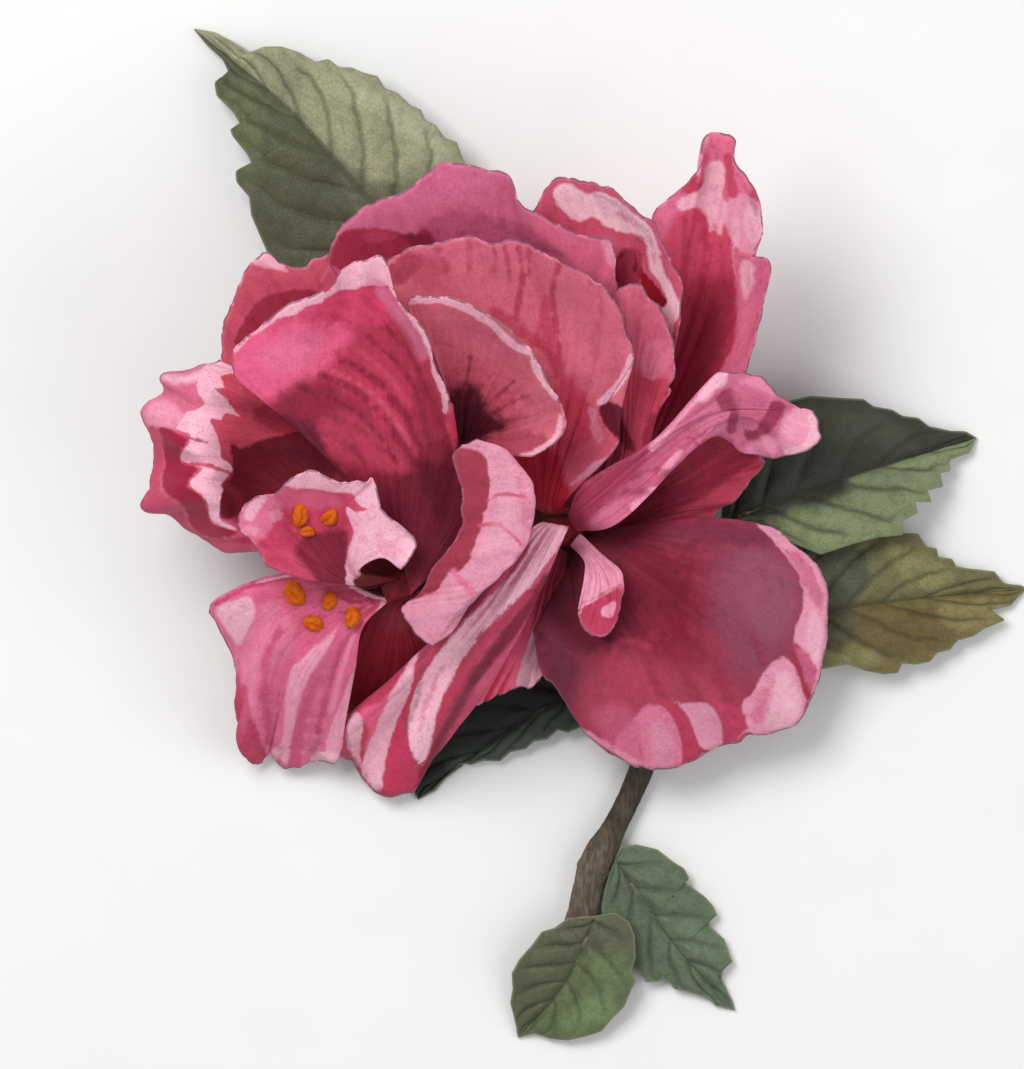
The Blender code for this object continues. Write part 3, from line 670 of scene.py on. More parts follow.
# The flower stalk, the bracts and the calyx
# The green parts behind the bloom, seen from the sides: a short stalk from the twig, a shallow cup of
# narrow bracts round its top, and inside that the calyx, whose five lobes spread under the petals.
PEDICEL_SEAT = 0.80
PEDICEL_PATH = [(6, -8.5, 2.8), (2, -4.5, 2.3), (-1.6, -0.7, 2.2), (-2.95, 0.75, 3.6), (-3, 1, 5.8)]
PEDICEL_RADII = [1.5, 1.5, 1.5, 1.5, 1.6, 1.8, 2.2]
CALYX_CENTRE = Vector((-3, 1, 0))
CALYX_BOTTOM = 7.6
CALYX_TOP = 18.6
CUP_SIDES = 168
CUP_ROWS = 60


def calyx_profile(angle):
    """Receptacle and lobe at one angle, from the middle of the underside round to the middle of the top."""
    lobe = (0.5 + 0.5 * math.cos(5 * angle)) ** 0.7
    rib = 0.12 * math.cos(25 * angle)
    bottom = CALYX_BOTTOM
    return [
        (0, bottom), (2.6, bottom), (4.8 + rib, bottom + 1.6), (6.2 + rib, bottom + 4.2),
        (6.8 + rib, bottom + 6.4), (7.2 + rib + 2.0 * lobe, bottom + 8.2), (7.6 + 4.4 * lobe, bottom + 9.2),
        (7.4 + 4.4 * lobe, bottom + 10.1), (6.6 + 1.5 * lobe, bottom + 9.4), (4.6, bottom + 8.6),
        (3.6, bottom + 9.4), (3.2, CALYX_TOP), (0, CALYX_TOP),
    ]


def epicalyx_profile(angle):
    bract = (0.5 + 0.5 * math.cos(7 * angle)) ** 3
    bottom = CALYX_BOTTOM - 1.1
    return [
        (0, bottom), (2.8, bottom), (5.4, bottom + 1.6), (6.4 + 1.2 * bract, bottom + 3.6),
        (6.9 + 3.4 * bract, bottom + 5.2), (6.8 + 3.4 * bract, bottom + 6.0),
        (6.5 + 1.0 * bract, bottom + 4.7),
        (5.0, bottom + 2.1), (2.7, bottom + 0.8), (0, bottom + 0.8),
    ]


def turned(profile):
    """A cup turned round the flower's axis, from a profile that changes with the angle."""
    cup = bmesh.new()
    bmesh.ops.create_grid(cup, x_segments=CUP_SIDES, y_segments=CUP_ROWS, size=0.5)
    for vert in cup.verts:
        angle = (vert.co.x + 0.5) * 2 * math.pi
        reach = along(vectors((radius, z, 0) for radius, z in profile(angle)), vert.co.y + 0.5)
        radius = max(reach.x, 0)
        outward = Vector((math.cos(angle), math.sin(angle), 0))
        vert.co = (CALYX_CENTRE + outward * radius + Vector((0, 0, reach.y))) * MM
    bmesh.ops.remove_doubles(cup, verts=cup.verts, dist=WELD)
    bmesh.ops.recalc_face_normals(cup, faces=cup.faces)
    return cup


def green_finish(name, dark, light):
    finish = Finish(name, {"Roughness": 0.6, "Sheen Weight": 0.25, "Specular IOR Level": 0.3})
    spot = finish.spot()
    ribs = finish.grain(finish.stretch(spot, (1.6, 1.6, 0.35)), 1.0, 4.0, 0.6)
    down = finish.grain(spot, 5.0, 2.0)
    colour = finish.mix(finish.between(ribs, 0.38, 0.62), dark, light)
    _, _, height = finish.parts(spot)
    colour = finish.mix(finish.between(height, 15.0, 17.0), colour, paint(104, 28, 42))
    return finish.finish_with(colour, ribs + down * 0.4, 0.3)


def stalk_relief(angle, share):
    return 0.08 * noise.noise(Vector((3 * math.cos(angle), 3 * math.sin(angle), share * 9)))


def add_green(name, shape, finish_name, dark, light, node):
    piece = add_piece(name, shape, [green_finish(finish_name, dark, light)])
    declare(piece, node)


pedicel_mesh = tube(branch_path(PEDICEL_SEAT, PEDICEL_PATH), PEDICEL_RADII, 32, 90, stalk_relief)
close_ends(pedicel_mesh)
add_green("flower_stalk", pedicel_mesh, "stalk green", paint(92, 104, 58), paint(124, 132, 78), "pedicel")
add_green("bracts", turned(epicalyx_profile), "bract green", paint(84, 104, 54), paint(116, 134, 76),
          "epicalyx")
add_green("calyx_cup", turned(calyx_profile), "calyx green", paint(98, 116, 62), paint(134, 146, 86),
          "calyx")


# The staminal column
# A fleshy dark red tube that rises from the calyx and leans to the left through the middle of the bloom.
# All the petals and petaloids of this double flower grow from its side.
COLUMN_PATH = [(-3, 1, 18.9), (-3.5, 1, 25), (-8, 0, 31), (-17, -3, 33.5), (-28, -7, 34), (-38, -10.5, 33)]
COLUMN_RADII = [3.2, 2.9, 2.6, 2.3, 2.0, 1.7]


def column_relief(angle, share):
    """Five faint flutes, and a swollen tip, where the last claws are joined to it."""
    flutes = 0.10 * math.cos(5 * angle)
    tip = 0.7 * min(max((share - 0.7) / 0.15, 0), 1)
    return flutes + tip + 0.14 * noise.noise(Vector((2 * math.cos(angle), 2 * math.sin(angle), share * 14)))


def column_finish():
    finish = Finish("column", {"Roughness": 0.7, "Specular IOR Level": 0.12})
    spot = finish.spot()
    mottle = finish.grain(spot, 0.5, 4.0)
    # Its dark red is partly its own colour and partly painted shade, so that it reads as the dark throat it
    # is seen in.
    colour = finish.mix(finish.between(mottle, 0.4, 0.6), paint(92, 25, 31), paint(120, 32, 40))
    return finish.finish_with(colour, finish.grain(spot, 3.0, 3.0), 0.15)


column_mesh = tube(COLUMN_PATH, COLUMN_RADII, 40, 130, column_relief)
close_ends(column_mesh)
column = add_piece("column", column_mesh, [column_finish()])
declare(column, "staminal_column")


# The lower right petal
# The largest petal, a broad shallow dish whose outer margin rolls down into scallops. Like every petal
# it is one thin satin sheet that fans out from a narrow claw, with veins that run from the claw to the rim.
PETAL_THICKNESS = 0.42
SOLID_THICKNESS = 0.7
SEAT_GAP = 0.3
CLAW_WIDTH = 3.2
PETAL_COLUMNS = 96
PETAL_ROWS = 70

THROAT = paint(74, 18, 30)
WINE = paint(130, 36, 56)
CRIMSON = paint(162, 48, 72)
CARMINE = paint(188, 62, 90)
ROSE = paint(202, 88, 116)
SALMON = paint(208, 104, 126)
MAUVE = paint(196, 100, 132)
PINK = paint(214, 112, 143)
SHELL = paint(226, 148, 172)
BLUSH = paint(234, 174, 190)
GRAPHITE = paint(104, 74, 88)


def ramp(low, high, value):
    t = min(max((value - low) / (high - low), 0), 1)
    return t * t * (3 - 2 * t)


@dataclass
class Petal:
    """One petal. seat is the share of the column where it grows; each ring runs clockwise from above."""

    name: str
    slot: str
    seat: float
    throat: tuple
    throat_width: float
    belly: list
    rim: list
    ground: list
    marks: list
    crest: list = None
    waves: float = 0
    wave_depth: float = 0
    frills: float = 5
    frill_depth: float = 0.45
    flutes: float = 1
    edge: tuple = (SHELL, 0.35, 0.3)

    def ray(self, u):
        """The points that a vein passes at a share, 0 to 1, of the way from the left edge to the right."""
        belly, throat = vectors(self.belly), Vector(self.throat)
        off = SEAT_GAP + SOLID_THICKNESS / 2
        root, out = seat_on(vectors(COLUMN_PATH), COLUMN_RADII, self.seat, throat, off)
        across = belly[-1] - belly[0]
        claw = (across - across.dot(out) * out).normalized() * CLAW_WIDTH
        forward = (throat - root).normalized()
        neck = (across - across.dot(forward) * forward).normalized() * self.throat_width
        side = u - 0.5
        crest = [along(vectors(self.crest), u)] if self.crest else []
        return [root + claw * side, throat + neck * side, along(belly, u), *crest, self.rim_place(u)]

    def rim_place(self, u):
        """The margin is never a clean curve: it is nibbled in and out by up to half a millimetre."""
        rim = vectors(self.rim)
        place = along(rim, u)
        way = place - Vector(self.throat)
        nibble = noise.noise(place / 2.2) * 0.5 + noise.noise(place / 0.8) * 0.22
        return place + way.normalized() * nibble

    def relief(self, u, v):
        """Height of the waves, the frill along the rim and the flutes between the veins."""
        seed = self.seat * 37
        wave = self.wave_depth * math.sin(2 * math.pi * (self.waves * u + 0.2)) * ramp(0.35, 1, v)
        turn = self.frills * u + 0.8 * noise.noise(Vector((u * 5, seed, 0)))
        frill = self.frill_depth * math.sin(2 * math.pi * turn) * ramp(0.72, 1, v)
        flute = 0.30 * noise.noise(Vector((u * 15, v * 1.6, seed)))
        flute += 0.10 * noise.noise(Vector((u * 42, v * 2.5, seed)))
        return wave + frill + self.flutes * flute * ramp(0.05, 0.35, v)


def petal_sheet(petal):
    """The petal as a sheet: columns run along the veins from claw to rim, rows from edge to edge."""
    sheet = bmesh.new()
    bmesh.ops.create_grid(sheet, x_segments=PETAL_COLUMNS, y_segments=PETAL_ROWS, size=0.5)
    rays = [petal.ray(column / PETAL_COLUMNS) for column in range(PETAL_COLUMNS + 1)]
    places = []
    for vert in sheet.verts:
        u, v = vert.co.x + 0.5, vert.co.y + 0.5
        ray = rays[round(u * PETAL_COLUMNS)]
        point = along(ray, v)
        vert.co = point * MM
        places.append((u, v, (ray[-1] - point).length))
    sheet.normal_update()
    rise = [vert.normal * petal.relief(u, v) * MM for vert, (u, v, _) in zip(sheet.verts, places)]
    for vert, step in zip(sheet.verts, rise):
        vert.co += step
        vert.co.z = max(vert.co.z, PETAL_THICKNESS / 2 * MM)
    return sheet, places


def petal_finish(petal):
    """Colour runs from claw to rim, is streaked along the veins, and carries the petal's own markings."""
    gloss = {"Roughness": 0.6, "Specular IOR Level": 0.12, "Sheen Weight": 0.03, "Sheen Roughness": 0.4}
    finish = Finish(petal.name, gloss)
    place, spot = finish.place(), finish.spot()
    u, v, margin = finish.parts(place)
    shift = (petal.seat * 50, 0, 0)
    streaks = finish.grain(finish.stretch(place, (46, 2.6, 0), shift), 1.0, 4.0, 0.62)
    broad = finish.grain(finish.stretch(place, (13, 2.2, 0), shift), 1.0, 2.0)
    mottle = finish.grain(spot, 0.42, 5.0, 0.62)
    cells = finish.grain(spot, 1.9, 4.0, 0.65)
    feather = (streaks - 0.5) * 0.8 + (mottle - 0.5) * 2.2
    outward = v + (streaks - 0.5) * 0.12 + (mottle - 0.5) * 0.2
    colour = finish.node("ValToRGB", {"stops": petal.ground}, {0: outward})
    colour = paint_marks(finish, colour, petal.marks, feather)
    lit = finish.times(colour, 1.20, 1.26, 1.24)
    deep = finish.times(colour, 0.76, 0.60, 0.66)
    colour = finish.mix(finish.between(streaks + (mottle - 0.5) * 0.9, 0.52, 0.74, 0.5), colour, lit)
    colour = finish.mix(finish.between(broad + (mottle - 0.5) * 0.8, 0.5, 0.3, 0.4), colour, deep)
    grains = finish.between(cells + (mottle - 0.5) * 0.4, 0.50, 0.32, 0.6)
    colour = finish.mix(grains, colour, deep)
    colour = finish.mix(finish.between(cells, 0.54, 0.70, 0.5), colour, lit)
    wander = u * 22.0 + (broad - 0.5) * 1.4
    from_vein = wander.from_half()
    vein = finish.between(from_vein, 0.42, 0.5) * finish.between(v, 0.1, 0.3) * finish.between(v, 0.97, 0.6)
    colour = finish.mix(vein * 0.24, colour, deep)
    tint, width, strength = petal.edge
    at_edge = finish.between(margin + feather * 0.35, width + 0.3, width - 0.25, strength)
    colour = finish.mix(at_edge * finish.between(v, 0.15, 0.35), colour, tint)
    line = finish.between(margin, 0.46, 0.2) * finish.between(mottle, 0.42, 0.5, 0.75)
    colour = finish.mix(line, colour, GRAPHITE)
    return finish.finish_with(colour, streaks + cells * 0.35 - vein * 0.5, 0.22, 0.5)


def open_petal(petal):
    sheet, places = petal_sheet(petal)
    piece = add_piece(petal.name + "_sheet", sheet, [petal_finish(petal)])
    carry(piece, places, petal.marks)
    weigh(piece, [min(0.25 + margin / 5, 1) for _, _, margin in places])
    thicken(piece, PETAL_THICKNESS, 0.5)
    declare(piece, petal.name)
    return piece


open_petal(Petal(
    "petal_lower_right", "crimson_petal", 0.10, (2.5, -2.5, 28), 14,
    [(19, 3.2, 29), (24, -3, 31), (23, -11, 31.5), (20, -18, 31), (14, -22, 31), (7, -22, 31),
     (0, -19, 30), (-6.5, -12, 29)],
    [(31, 2.6, 23.5), (36, 1.2, 20.5), (41, -2, 18), (44.5, -5.6, 16), (46.2, -11, 15), (46, -18, 13.5),
     (45, -24, 12.5), (44.2, -29, 12), (42, -34, 12), (39.2, -36.6, 12), (35.4, -37.6, 12),
     (31.4, -37, 12.5), (28.6, -39.4, 12), (24.5, -40.6, 12), (21, -42.8, 12), (17, -44.6, 12),
     (12, -44.2, 12), (8.5, -42.8, 12), (3, -39.6, 13.5), (-1, -36, 15), (-5, -30.4, 18), (-8.2, -25, 21),
     (-9.8, -18, 25.5)],
    [(0, THROAT), (0.3, paint(96, 28, 44)), (0.6, paint(130, 38, 58)), (0.85, paint(156, 54, 76)),
     (1, CRIMSON)],
    [
        Mark(paint(142, 66, 88), 5.5, [(24, -4), (33, 1), (38, -3), (41.4, -9), (41.4, -15), (39.4, -21),
             (34, -27), (29, -27), (25, -20), (23, -11)]),
        Mark(paint(154, 84, 104), 2.0, [(29, -4), (36, -4), (40, -9), (40, -16), (35, -20), (30, -14)],
             strength=0.6),
        Mark(paint(116, 44, 64), 1.4, [(14, 1), (24, 3), (33, 2), (36, -1), (28, -2), (18, -2)],
             strength=0.8),
        # Painted shadow: the dark patches by the claw and the dark line beside the curl are shadow that the
        # pleated petal and the curl throw on this petal.
        Mark(paint(104, 28, 44), 1.6, [(-7, -1), (-1, 0), (4, -3), (8, -7), (9, -14), (6, -20), (0, -22),
             (-5, -20), (-9, -15), (-9, -8)]),
        Mark(paint(84, 22, 36), 1.2, [(-6, -3), (-2, -2), (-1, -8), (-2, -16), (-4, -18), (-7, -13)],
             strength=0.8),
        Mark(paint(70, 18, 30), 1.0, [(6.4, -5), (8.4, -9), (6.6, -14), (4.4, -19)], width=1.6,
             strength=0.8),
        Mark(paint(118, 46, 66), 2.4, [(-9.6, -14), (-4, -19), (0, -25), (1, -31), (-3, -34), (-8, -27)]),
        Mark(paint(122, 27, 47), 5.0, [(9, -2), (18, -3), (22, -8), (22.4, -16), (21, -23), (17, -24),
             (12, -18), (8, -12)]),
        Mark(paint(100, 20, 38), 2.0, [(12, -4), (17, -5), (20, -10), (18, -15), (13, -12)],
             strength=0.5),
        Mark(paint(176, 64, 88), 3.2, [(0, -28), (6, -23), (14, -24), (22, -26), (28, -28), (31, -34),
             (26, -38), (16, -41), (6, -39), (0, -35)]),
        Mark(paint(152, 46, 70), 1.2, [(24, -19), (25, -25), (27.4, -31), (28.4, -37)], width=2.4,
             strength=0.7),
        Mark(paint(150, 42, 66), 1.0, [(18, -21), (19.4, -27), (21.4, -31)], width=1.8, strength=0.6),
        Mark(paint(148, 42, 64), 1.0, [(12, -20), (12.6, -26), (15, -31)], width=1.8, strength=0.5),
        Mark(paint(146, 42, 64), 0.8, [(32, -18), (33.4, -23), (36, -27)], width=1.2, strength=0.5),
        Mark(paint(202, 92, 120), 1.4, [(2, -34), (5, -31.6), (9, -33), (10.6, -37), (9.6, -42),
             (5, -40)], strength=0.8),
        Mark(paint(184, 64, 90), 0.8, [(12, -21), (7, -20), (5, -24)], width=1.0, strength=0.6),
        Mark(SHELL, 0.35, [(32.6, 2.6), (35, 0), (38, -3.4), (40.4, -7), (41.6, -11), (41, -15),
             (39.6, -19), (41.4, -22), (43, -25.4), (43, -31), (40, -36), (44, -36), (47, -28), (48, -15),
             (47, -6), (42, 0), (36, 3.4)]),
        Mark(paint(204, 112, 138), 0.5, [(38.4, -3), (41.4, -4), (44, -8), (45.4, -12), (45, -15.4),
             (43, -12), (41.4, -9), (40, -6)]),
        Mark(BLUSH, 0.6, [(43.4, -14), (45.2, -17), (45, -23), (43.4, -26), (42, -21), (42.4, -17)],
             strength=0.8),
        Mark(paint(200, 96, 126), 0.5, [(39.6, -20.6), (41, -24), (42.6, -29), (44.2, -27), (43.6, -24),
             (41.6, -21.4)]),
        Mark(SHELL, 0.4, [(29.8, -32), (32, -29.6), (34, -26), (37.4, -23), (39.6, -24), (41, -28),
             (42, -32), (41, -36), (37, -38), (31.4, -37)]),
        Mark(BLUSH, 0.7, [(36, -27), (38.6, -25.6), (40.4, -29), (41, -33), (38.6, -36.6), (34.6, -36.4),
             (35, -33)], strength=0.9),
        Mark(PINK, 0.7, [(31.6, -34.6), (33.4, -30), (36, -26), (35, -31), (34, -35)], strength=0.7),
        Mark(SHELL, 0.35, [(16.4, -30.8), (19, -31.6), (23, -31.6), (25.2, -33.4), (26.4, -37),
             (26.2, -40), (22.6, -40.4), (21.2, -38), (20.2, -35.4), (18.6, -32.8)]),
        Mark(paint(220, 120, 150), 0.5, [(9.4, -35), (12, -32), (15.4, -32.4), (17.4, -35.4), (18.6, -39),
             (18.6, -44), (14, -45.4), (11.4, -43), (10.8, -39)]),
        Mark(SHELL, 0.9, [(12.6, -35.6), (15.4, -35.6), (17, -39.6), (16.2, -43.6), (13.4, -43)],
             strength=0.75),
        Mark(PINK, 0.6, [(8, -36), (10.4, -35.6), (10.8, -40), (12, -44.6), (8, -43.4), (5.4, -40.4)],
             strength=0.8),
        Mark(paint(190, 60, 92), 0.4, [(13.6, -30.8), (16.6, -31.4), (19.4, -34.6), (21.2, -38.6),
             (21.6, -42.6), (18.8, -45), (18.6, -39), (17, -34.4)]),
        Mark(paint(192, 64, 96), 0.5, [(23.4, -30.6), (26.6, -31.6), (29.8, -33), (31, -37.4), (29, -40),
             (26.6, -40.4), (26.4, -36), (25.2, -33.2)]),
        Mark(SHELL, 0.3, [(21.4, -42.4), (25, -40.4), (28.6, -39.2), (31.4, -36.9), (36, -37.4)],
             width=0.8, strength=0.9),
        Mark(SHELL, 0.4, [(-2, -36), (4, -39.4), (9, -42.6), (13, -44.4)], width=1.3, strength=0.8),
    ],
    waves=4, wave_depth=0.7, frills=6.5, frill_depth=0.6,
))


# The petal under the right-hand side
# A small dark petal that shows only between its neighbours, lit along its lower margin.
open_petal(Petal(
    "petal_under_right", "crimson_petal", 0.015, (8, 3, 20), 5,
    [(14, 14, 20.6), (19, 8, 22.5), (17, 1.5, 22.5)],
    [(22.5, 22.6, 22.4), (29.5, 20.6, 23.6), (34, 14.6, 23.5), (31.8, 10.6, 22.8), (29, 7, 22.2),
     (25.6, 4.6, 21.6), (22, 0, 21)],
    [(0, paint(136, 36, 56)), (0.5, paint(150, 42, 64)), (1, paint(150, 42, 64))],
    [
        Mark(paint(184, 64, 86), 0.5, [(10, 1.6), (15, 3.6), (20, 6), (26, 9.6), (31, 13.2), (35, 15),
             (32, 8), (27, 4), (20, 1)]),
        Mark(paint(120, 30, 48), 1.2, [(14, 8), (19, 15), (25, 18), (24, 13), (17, 7)], strength=0.6),
        Mark(paint(176, 58, 80), 0.5, [(18, 10), (23, 13), (29, 17)], width=0.7, strength=0.5),
    ],
))


# The folded petal on the right
# A narrow mauve petal folded along its length, with a pale tip that curls over and two dark stripes
# behind it.
open_petal(Petal(
    "petal_right_folded", "rose_petal", 0.28, (3.5, 6.5, 38.5), 10,
    [(13.4, 17.4, 39), (16.8, 20.4, 41), (22, 22.8, 40.5), (27, 23, 39), (28, 22.5, 38), (23.4, 19.6, 38.5),
     (17, 12.4, 38.5)],
    [(25, 29.8, 36), (28.5, 31, 36.6), (34, 30.2, 36), (36.6, 26.8, 34.8), (40, 24.6, 34.2),
     (44, 23.4, 33.4), (44.8, 18.6, 32.8), (40.5, 16, 32), (35.5, 15, 31.6), (31, 14.8, 31.6),
     (28.6, 18.6, 32.4), (25.4, 20, 33), (22, 16.4, 33.4)],
    [(0, CRIMSON), (0.3, paint(170, 72, 100)), (0.6, paint(192, 98, 128)), (1, paint(196, 102, 132))],
    [
        Mark(paint(158, 56, 82), 1.0, [(-3, 8), (2, 11), (8, 15), (12, 17), (11, 13), (7, 9), (3, 5),
             (-1, 3)]),
        Mark(paint(200, 106, 134), 0.8, [(1, 2), (4, 0.6), (8, 1), (11, 5), (10, 7.6), (6, 6.6),
             (3, 4.6)]),
        Mark(paint(196, 92, 120), 1.2, [(10, 12), (15, 16), (20, 21), (22, 20), (18, 15), (14, 10)],
             strength=0.8),
        Mark(SHELL, 0.4, [(5, 13.6), (7.6, 16.6), (9.6, 18.4), (9.6, 16.2), (7.4, 14.4)], strength=0.9),
        Mark(SHELL, 0.3, [(12.8, 16.8), (16.4, 20.2), (20, 24.2), (23.2, 27.8), (26, 30.6)], width=1.0),
        Mark(BLUSH, 0.5, [(21.6, 26), (23.6, 29.4), (27, 31.6), (27, 29.2), (24.6, 27.4), (23, 25.4)],
             strength=0.9),
        Mark(SHELL, 0.3, [(9.6, 4.6), (12.4, 6), (14, 9), (12.6, 9.4), (11, 7.4), (9, 6.2)]),
        Mark(SHELL, 0.3, [(14.2, 11.8), (17.2, 13.8), (19, 16.4), (17.4, 16.2), (15.4, 13.8)]),
        Mark(paint(138, 52, 76), 0.5, [(8, 10.2), (10.6, 12), (13.6, 12.6), (16.4, 11.6)], width=1.1,
             strength=0.55),
        Mark(paint(138, 52, 76), 0.5, [(6.6, 7.8), (9.4, 8.8), (12.4, 8.2)], width=1.0, strength=0.5),
        Mark(paint(138, 52, 76), 0.5, [(-2, 9.6), (3, 12), (8, 14.6), (11, 15.6)], width=1.0,
             strength=0.5),
        Mark(paint(150, 58, 84), 0.3, [(19.6, 19), (21, 18), (22, 16.6)], width=0.6, strength=0.8),
        Mark(paint(206, 114, 144), 1.0, [(21, 22), (25, 26), (28.6, 24), (26, 20.4), (23, 19.4)],
             strength=0.6),
        Mark(paint(148, 58, 86), 0.4, [(25, 26.4), (27.4, 28.4), (29.6, 26.6), (29.4, 23), (28.4, 19.6),
             (27, 20.4), (27.6, 23.6), (25.8, 24.4)]),
        Mark(paint(146, 54, 82), 0.4, [(30.4, 20.4), (32.6, 20.6), (34.6, 23.4), (35.6, 25.6), (38.2, 25),
             (37, 22), (35, 19.4), (33, 17.6), (31, 18.4)]),
        Mark(paint(190, 96, 126), 1.0, [(28, 28), (32, 28.6), (34.6, 26), (32.6, 22), (30.4, 22)],
             strength=0.8),
        Mark(paint(218, 134, 162), 0.8, [(30.4, 15.6), (31.6, 18), (35, 19), (37.4, 18), (36.4, 16.2),
             (33, 15)]),
        Mark(SHELL, 0.7, [(37, 19), (38.6, 23), (42, 25), (46, 22.6), (44.6, 17), (39, 15.2)]),
        Mark(BLUSH, 0.35, [(38, 16.4), (41.4, 17.6), (42.8, 20.4), (42.4, 23), (45.6, 23.4), (46, 19),
             (43, 16), (39.6, 15)]),
        Mark(paint(214, 132, 158), 0.7, [(29, 30), (33.6, 30.4), (36, 28.4), (36.4, 26.4), (33.6, 27.6),
             (30, 28.8)], strength=0.8),
    ],
    waves=3.5, wave_depth=0.9, frills=5, frill_depth=0.5,
))


# The upper right petal
# A long petal that stands up into a narrow tip, dark in its trough and pale where the tip catches
# the light.
open_petal(Petal(
    "petal_upper_right", "crimson_petal", 0.045, (11, 13.5, 22), 7,
    [(14, 36, 27), (17, 43, 26), (22, 46, 26), (27, 44, 28), (30, 36, 31), (26, 27, 30)],
    [(13, 54, 31), (13, 60.8, 35), (16, 64, 37), (20, 67.2, 39), (22.4, 70.5, 40), (22.8, 74.4, 41),
     (25.4, 76.6, 41), (28.8, 75.4, 41), (29.2, 71.4, 41.5), (31.4, 67.6, 42), (34.2, 62.4, 41),
     (34.2, 58.4, 40.5), (32.4, 55, 40), (32, 53.2, 39.8), (34.8, 51.8, 39.5), (34.8, 47, 38.5),
     (33.6, 41, 37), (32, 35, 35.5), (31, 31, 34)],
    [(0, paint(140, 38, 56)), (0.5, paint(144, 40, 60)), (0.7, paint(176, 56, 80)), (1, CARMINE)],
    [
        Mark(paint(156, 46, 68), 1.6, [(14, 22), (17, 38), (19, 44), (24, 48), (28.6, 48), (28.8, 42),
             (27.6, 37), (25, 32), (21, 27), (17, 20)]),
        Mark(paint(128, 34, 52), 1.4, [(20, 28), (21.4, 36), (24, 43), (26, 44), (26, 38), (23.4, 31)],
             strength=0.7),
        Mark(paint(206, 78, 106), 2.2, [(13, 48), (14, 60), (20, 63), (27, 62), (28.6, 54), (26, 50),
             (20, 49)]),
        Mark(paint(170, 54, 80), 0.8, [(18, 44), (19, 52), (19, 60)], width=1.2, strength=0.6),
        Mark(paint(166, 50, 76), 0.8, [(22, 45), (23, 53), (22.4, 60)], width=1.2, strength=0.6),
        Mark(paint(166, 50, 76), 0.8, [(26, 46), (26.4, 52), (26, 56)], width=1.0, strength=0.6),
        Mark(paint(196, 84, 110), 0.8, [(13, 40), (14.6, 48), (13.6, 54)], width=1.6, strength=0.6),
        Mark(PINK, 0.8, [(12, 59.6), (17, 65), (20, 64), (17, 60.6), (15, 56), (13, 52)]),
        Mark(paint(214, 104, 134), 0.6, [(21.6, 68), (22, 77), (29.6, 77), (32, 66), (28, 63), (24, 66)]),
        Mark(SHELL, 0.5, [(26, 62), (29.4, 65), (32.4, 64), (34.6, 60), (34.4, 56), (32, 53), (30, 50),
             (29, 54), (28, 57)]),
        Mark(BLUSH, 0.4, [(17.6, 63.6), (20.4, 65), (22.4, 66.6), (23, 70.4), (24.8, 71.6), (26.8, 70.6),
             (27.2, 68), (26.4, 65), (27.4, 63), (27, 60), (25.8, 57), (25, 60), (24.2, 57.6), (23.4, 61),
             (21, 62.4), (18.6, 62)]),
        Mark(BLUSH, 0.5, [(31, 62.6), (33.6, 61), (34.2, 57.4), (32, 55.6), (30.6, 58.6)], strength=0.85),
        Mark(BLUSH, 0.4, [(29, 60), (29, 55), (29.6, 49.6)], width=1.5, strength=0.85),
        Mark(CARMINE, 0.4, [(27.4, 72), (28, 68), (28.4, 65)], width=1.8, strength=0.8),
        Mark(paint(204, 100, 130), 0.5, [(28.6, 55), (31, 53.6), (35, 53), (36, 48), (34.6, 42), (32, 34),
             (30, 29), (25, 24), (26, 31), (28.6, 37), (29.2, 44), (28.8, 50)]),
        Mark(PINK, 0.8, [(29.6, 50), (31, 52), (33, 48), (32, 42), (30, 36), (29.8, 43)], strength=0.6),
        Mark(BLUSH, 0.5, [(30, 52), (32, 52), (32.4, 48), (31, 45), (30, 47)], strength=0.8),
        Mark(SHELL, 0.3, [(21.8, 68.6), (22.2, 72.6), (23.6, 76)], width=0.7, strength=0.8),
        Mark(GRAPHITE, 0.3, [(24.2, 75.4), (25, 73), (25.2, 71.4)], width=0.8, strength=0.4),
        Mark(GRAPHITE, 0.3, [(29, 71), (30, 67.6), (32, 64), (33.2, 60)], width=0.8, strength=0.35),
    ],
    waves=2, wave_depth=0.5, frills=6, frill_depth=0.5,
))
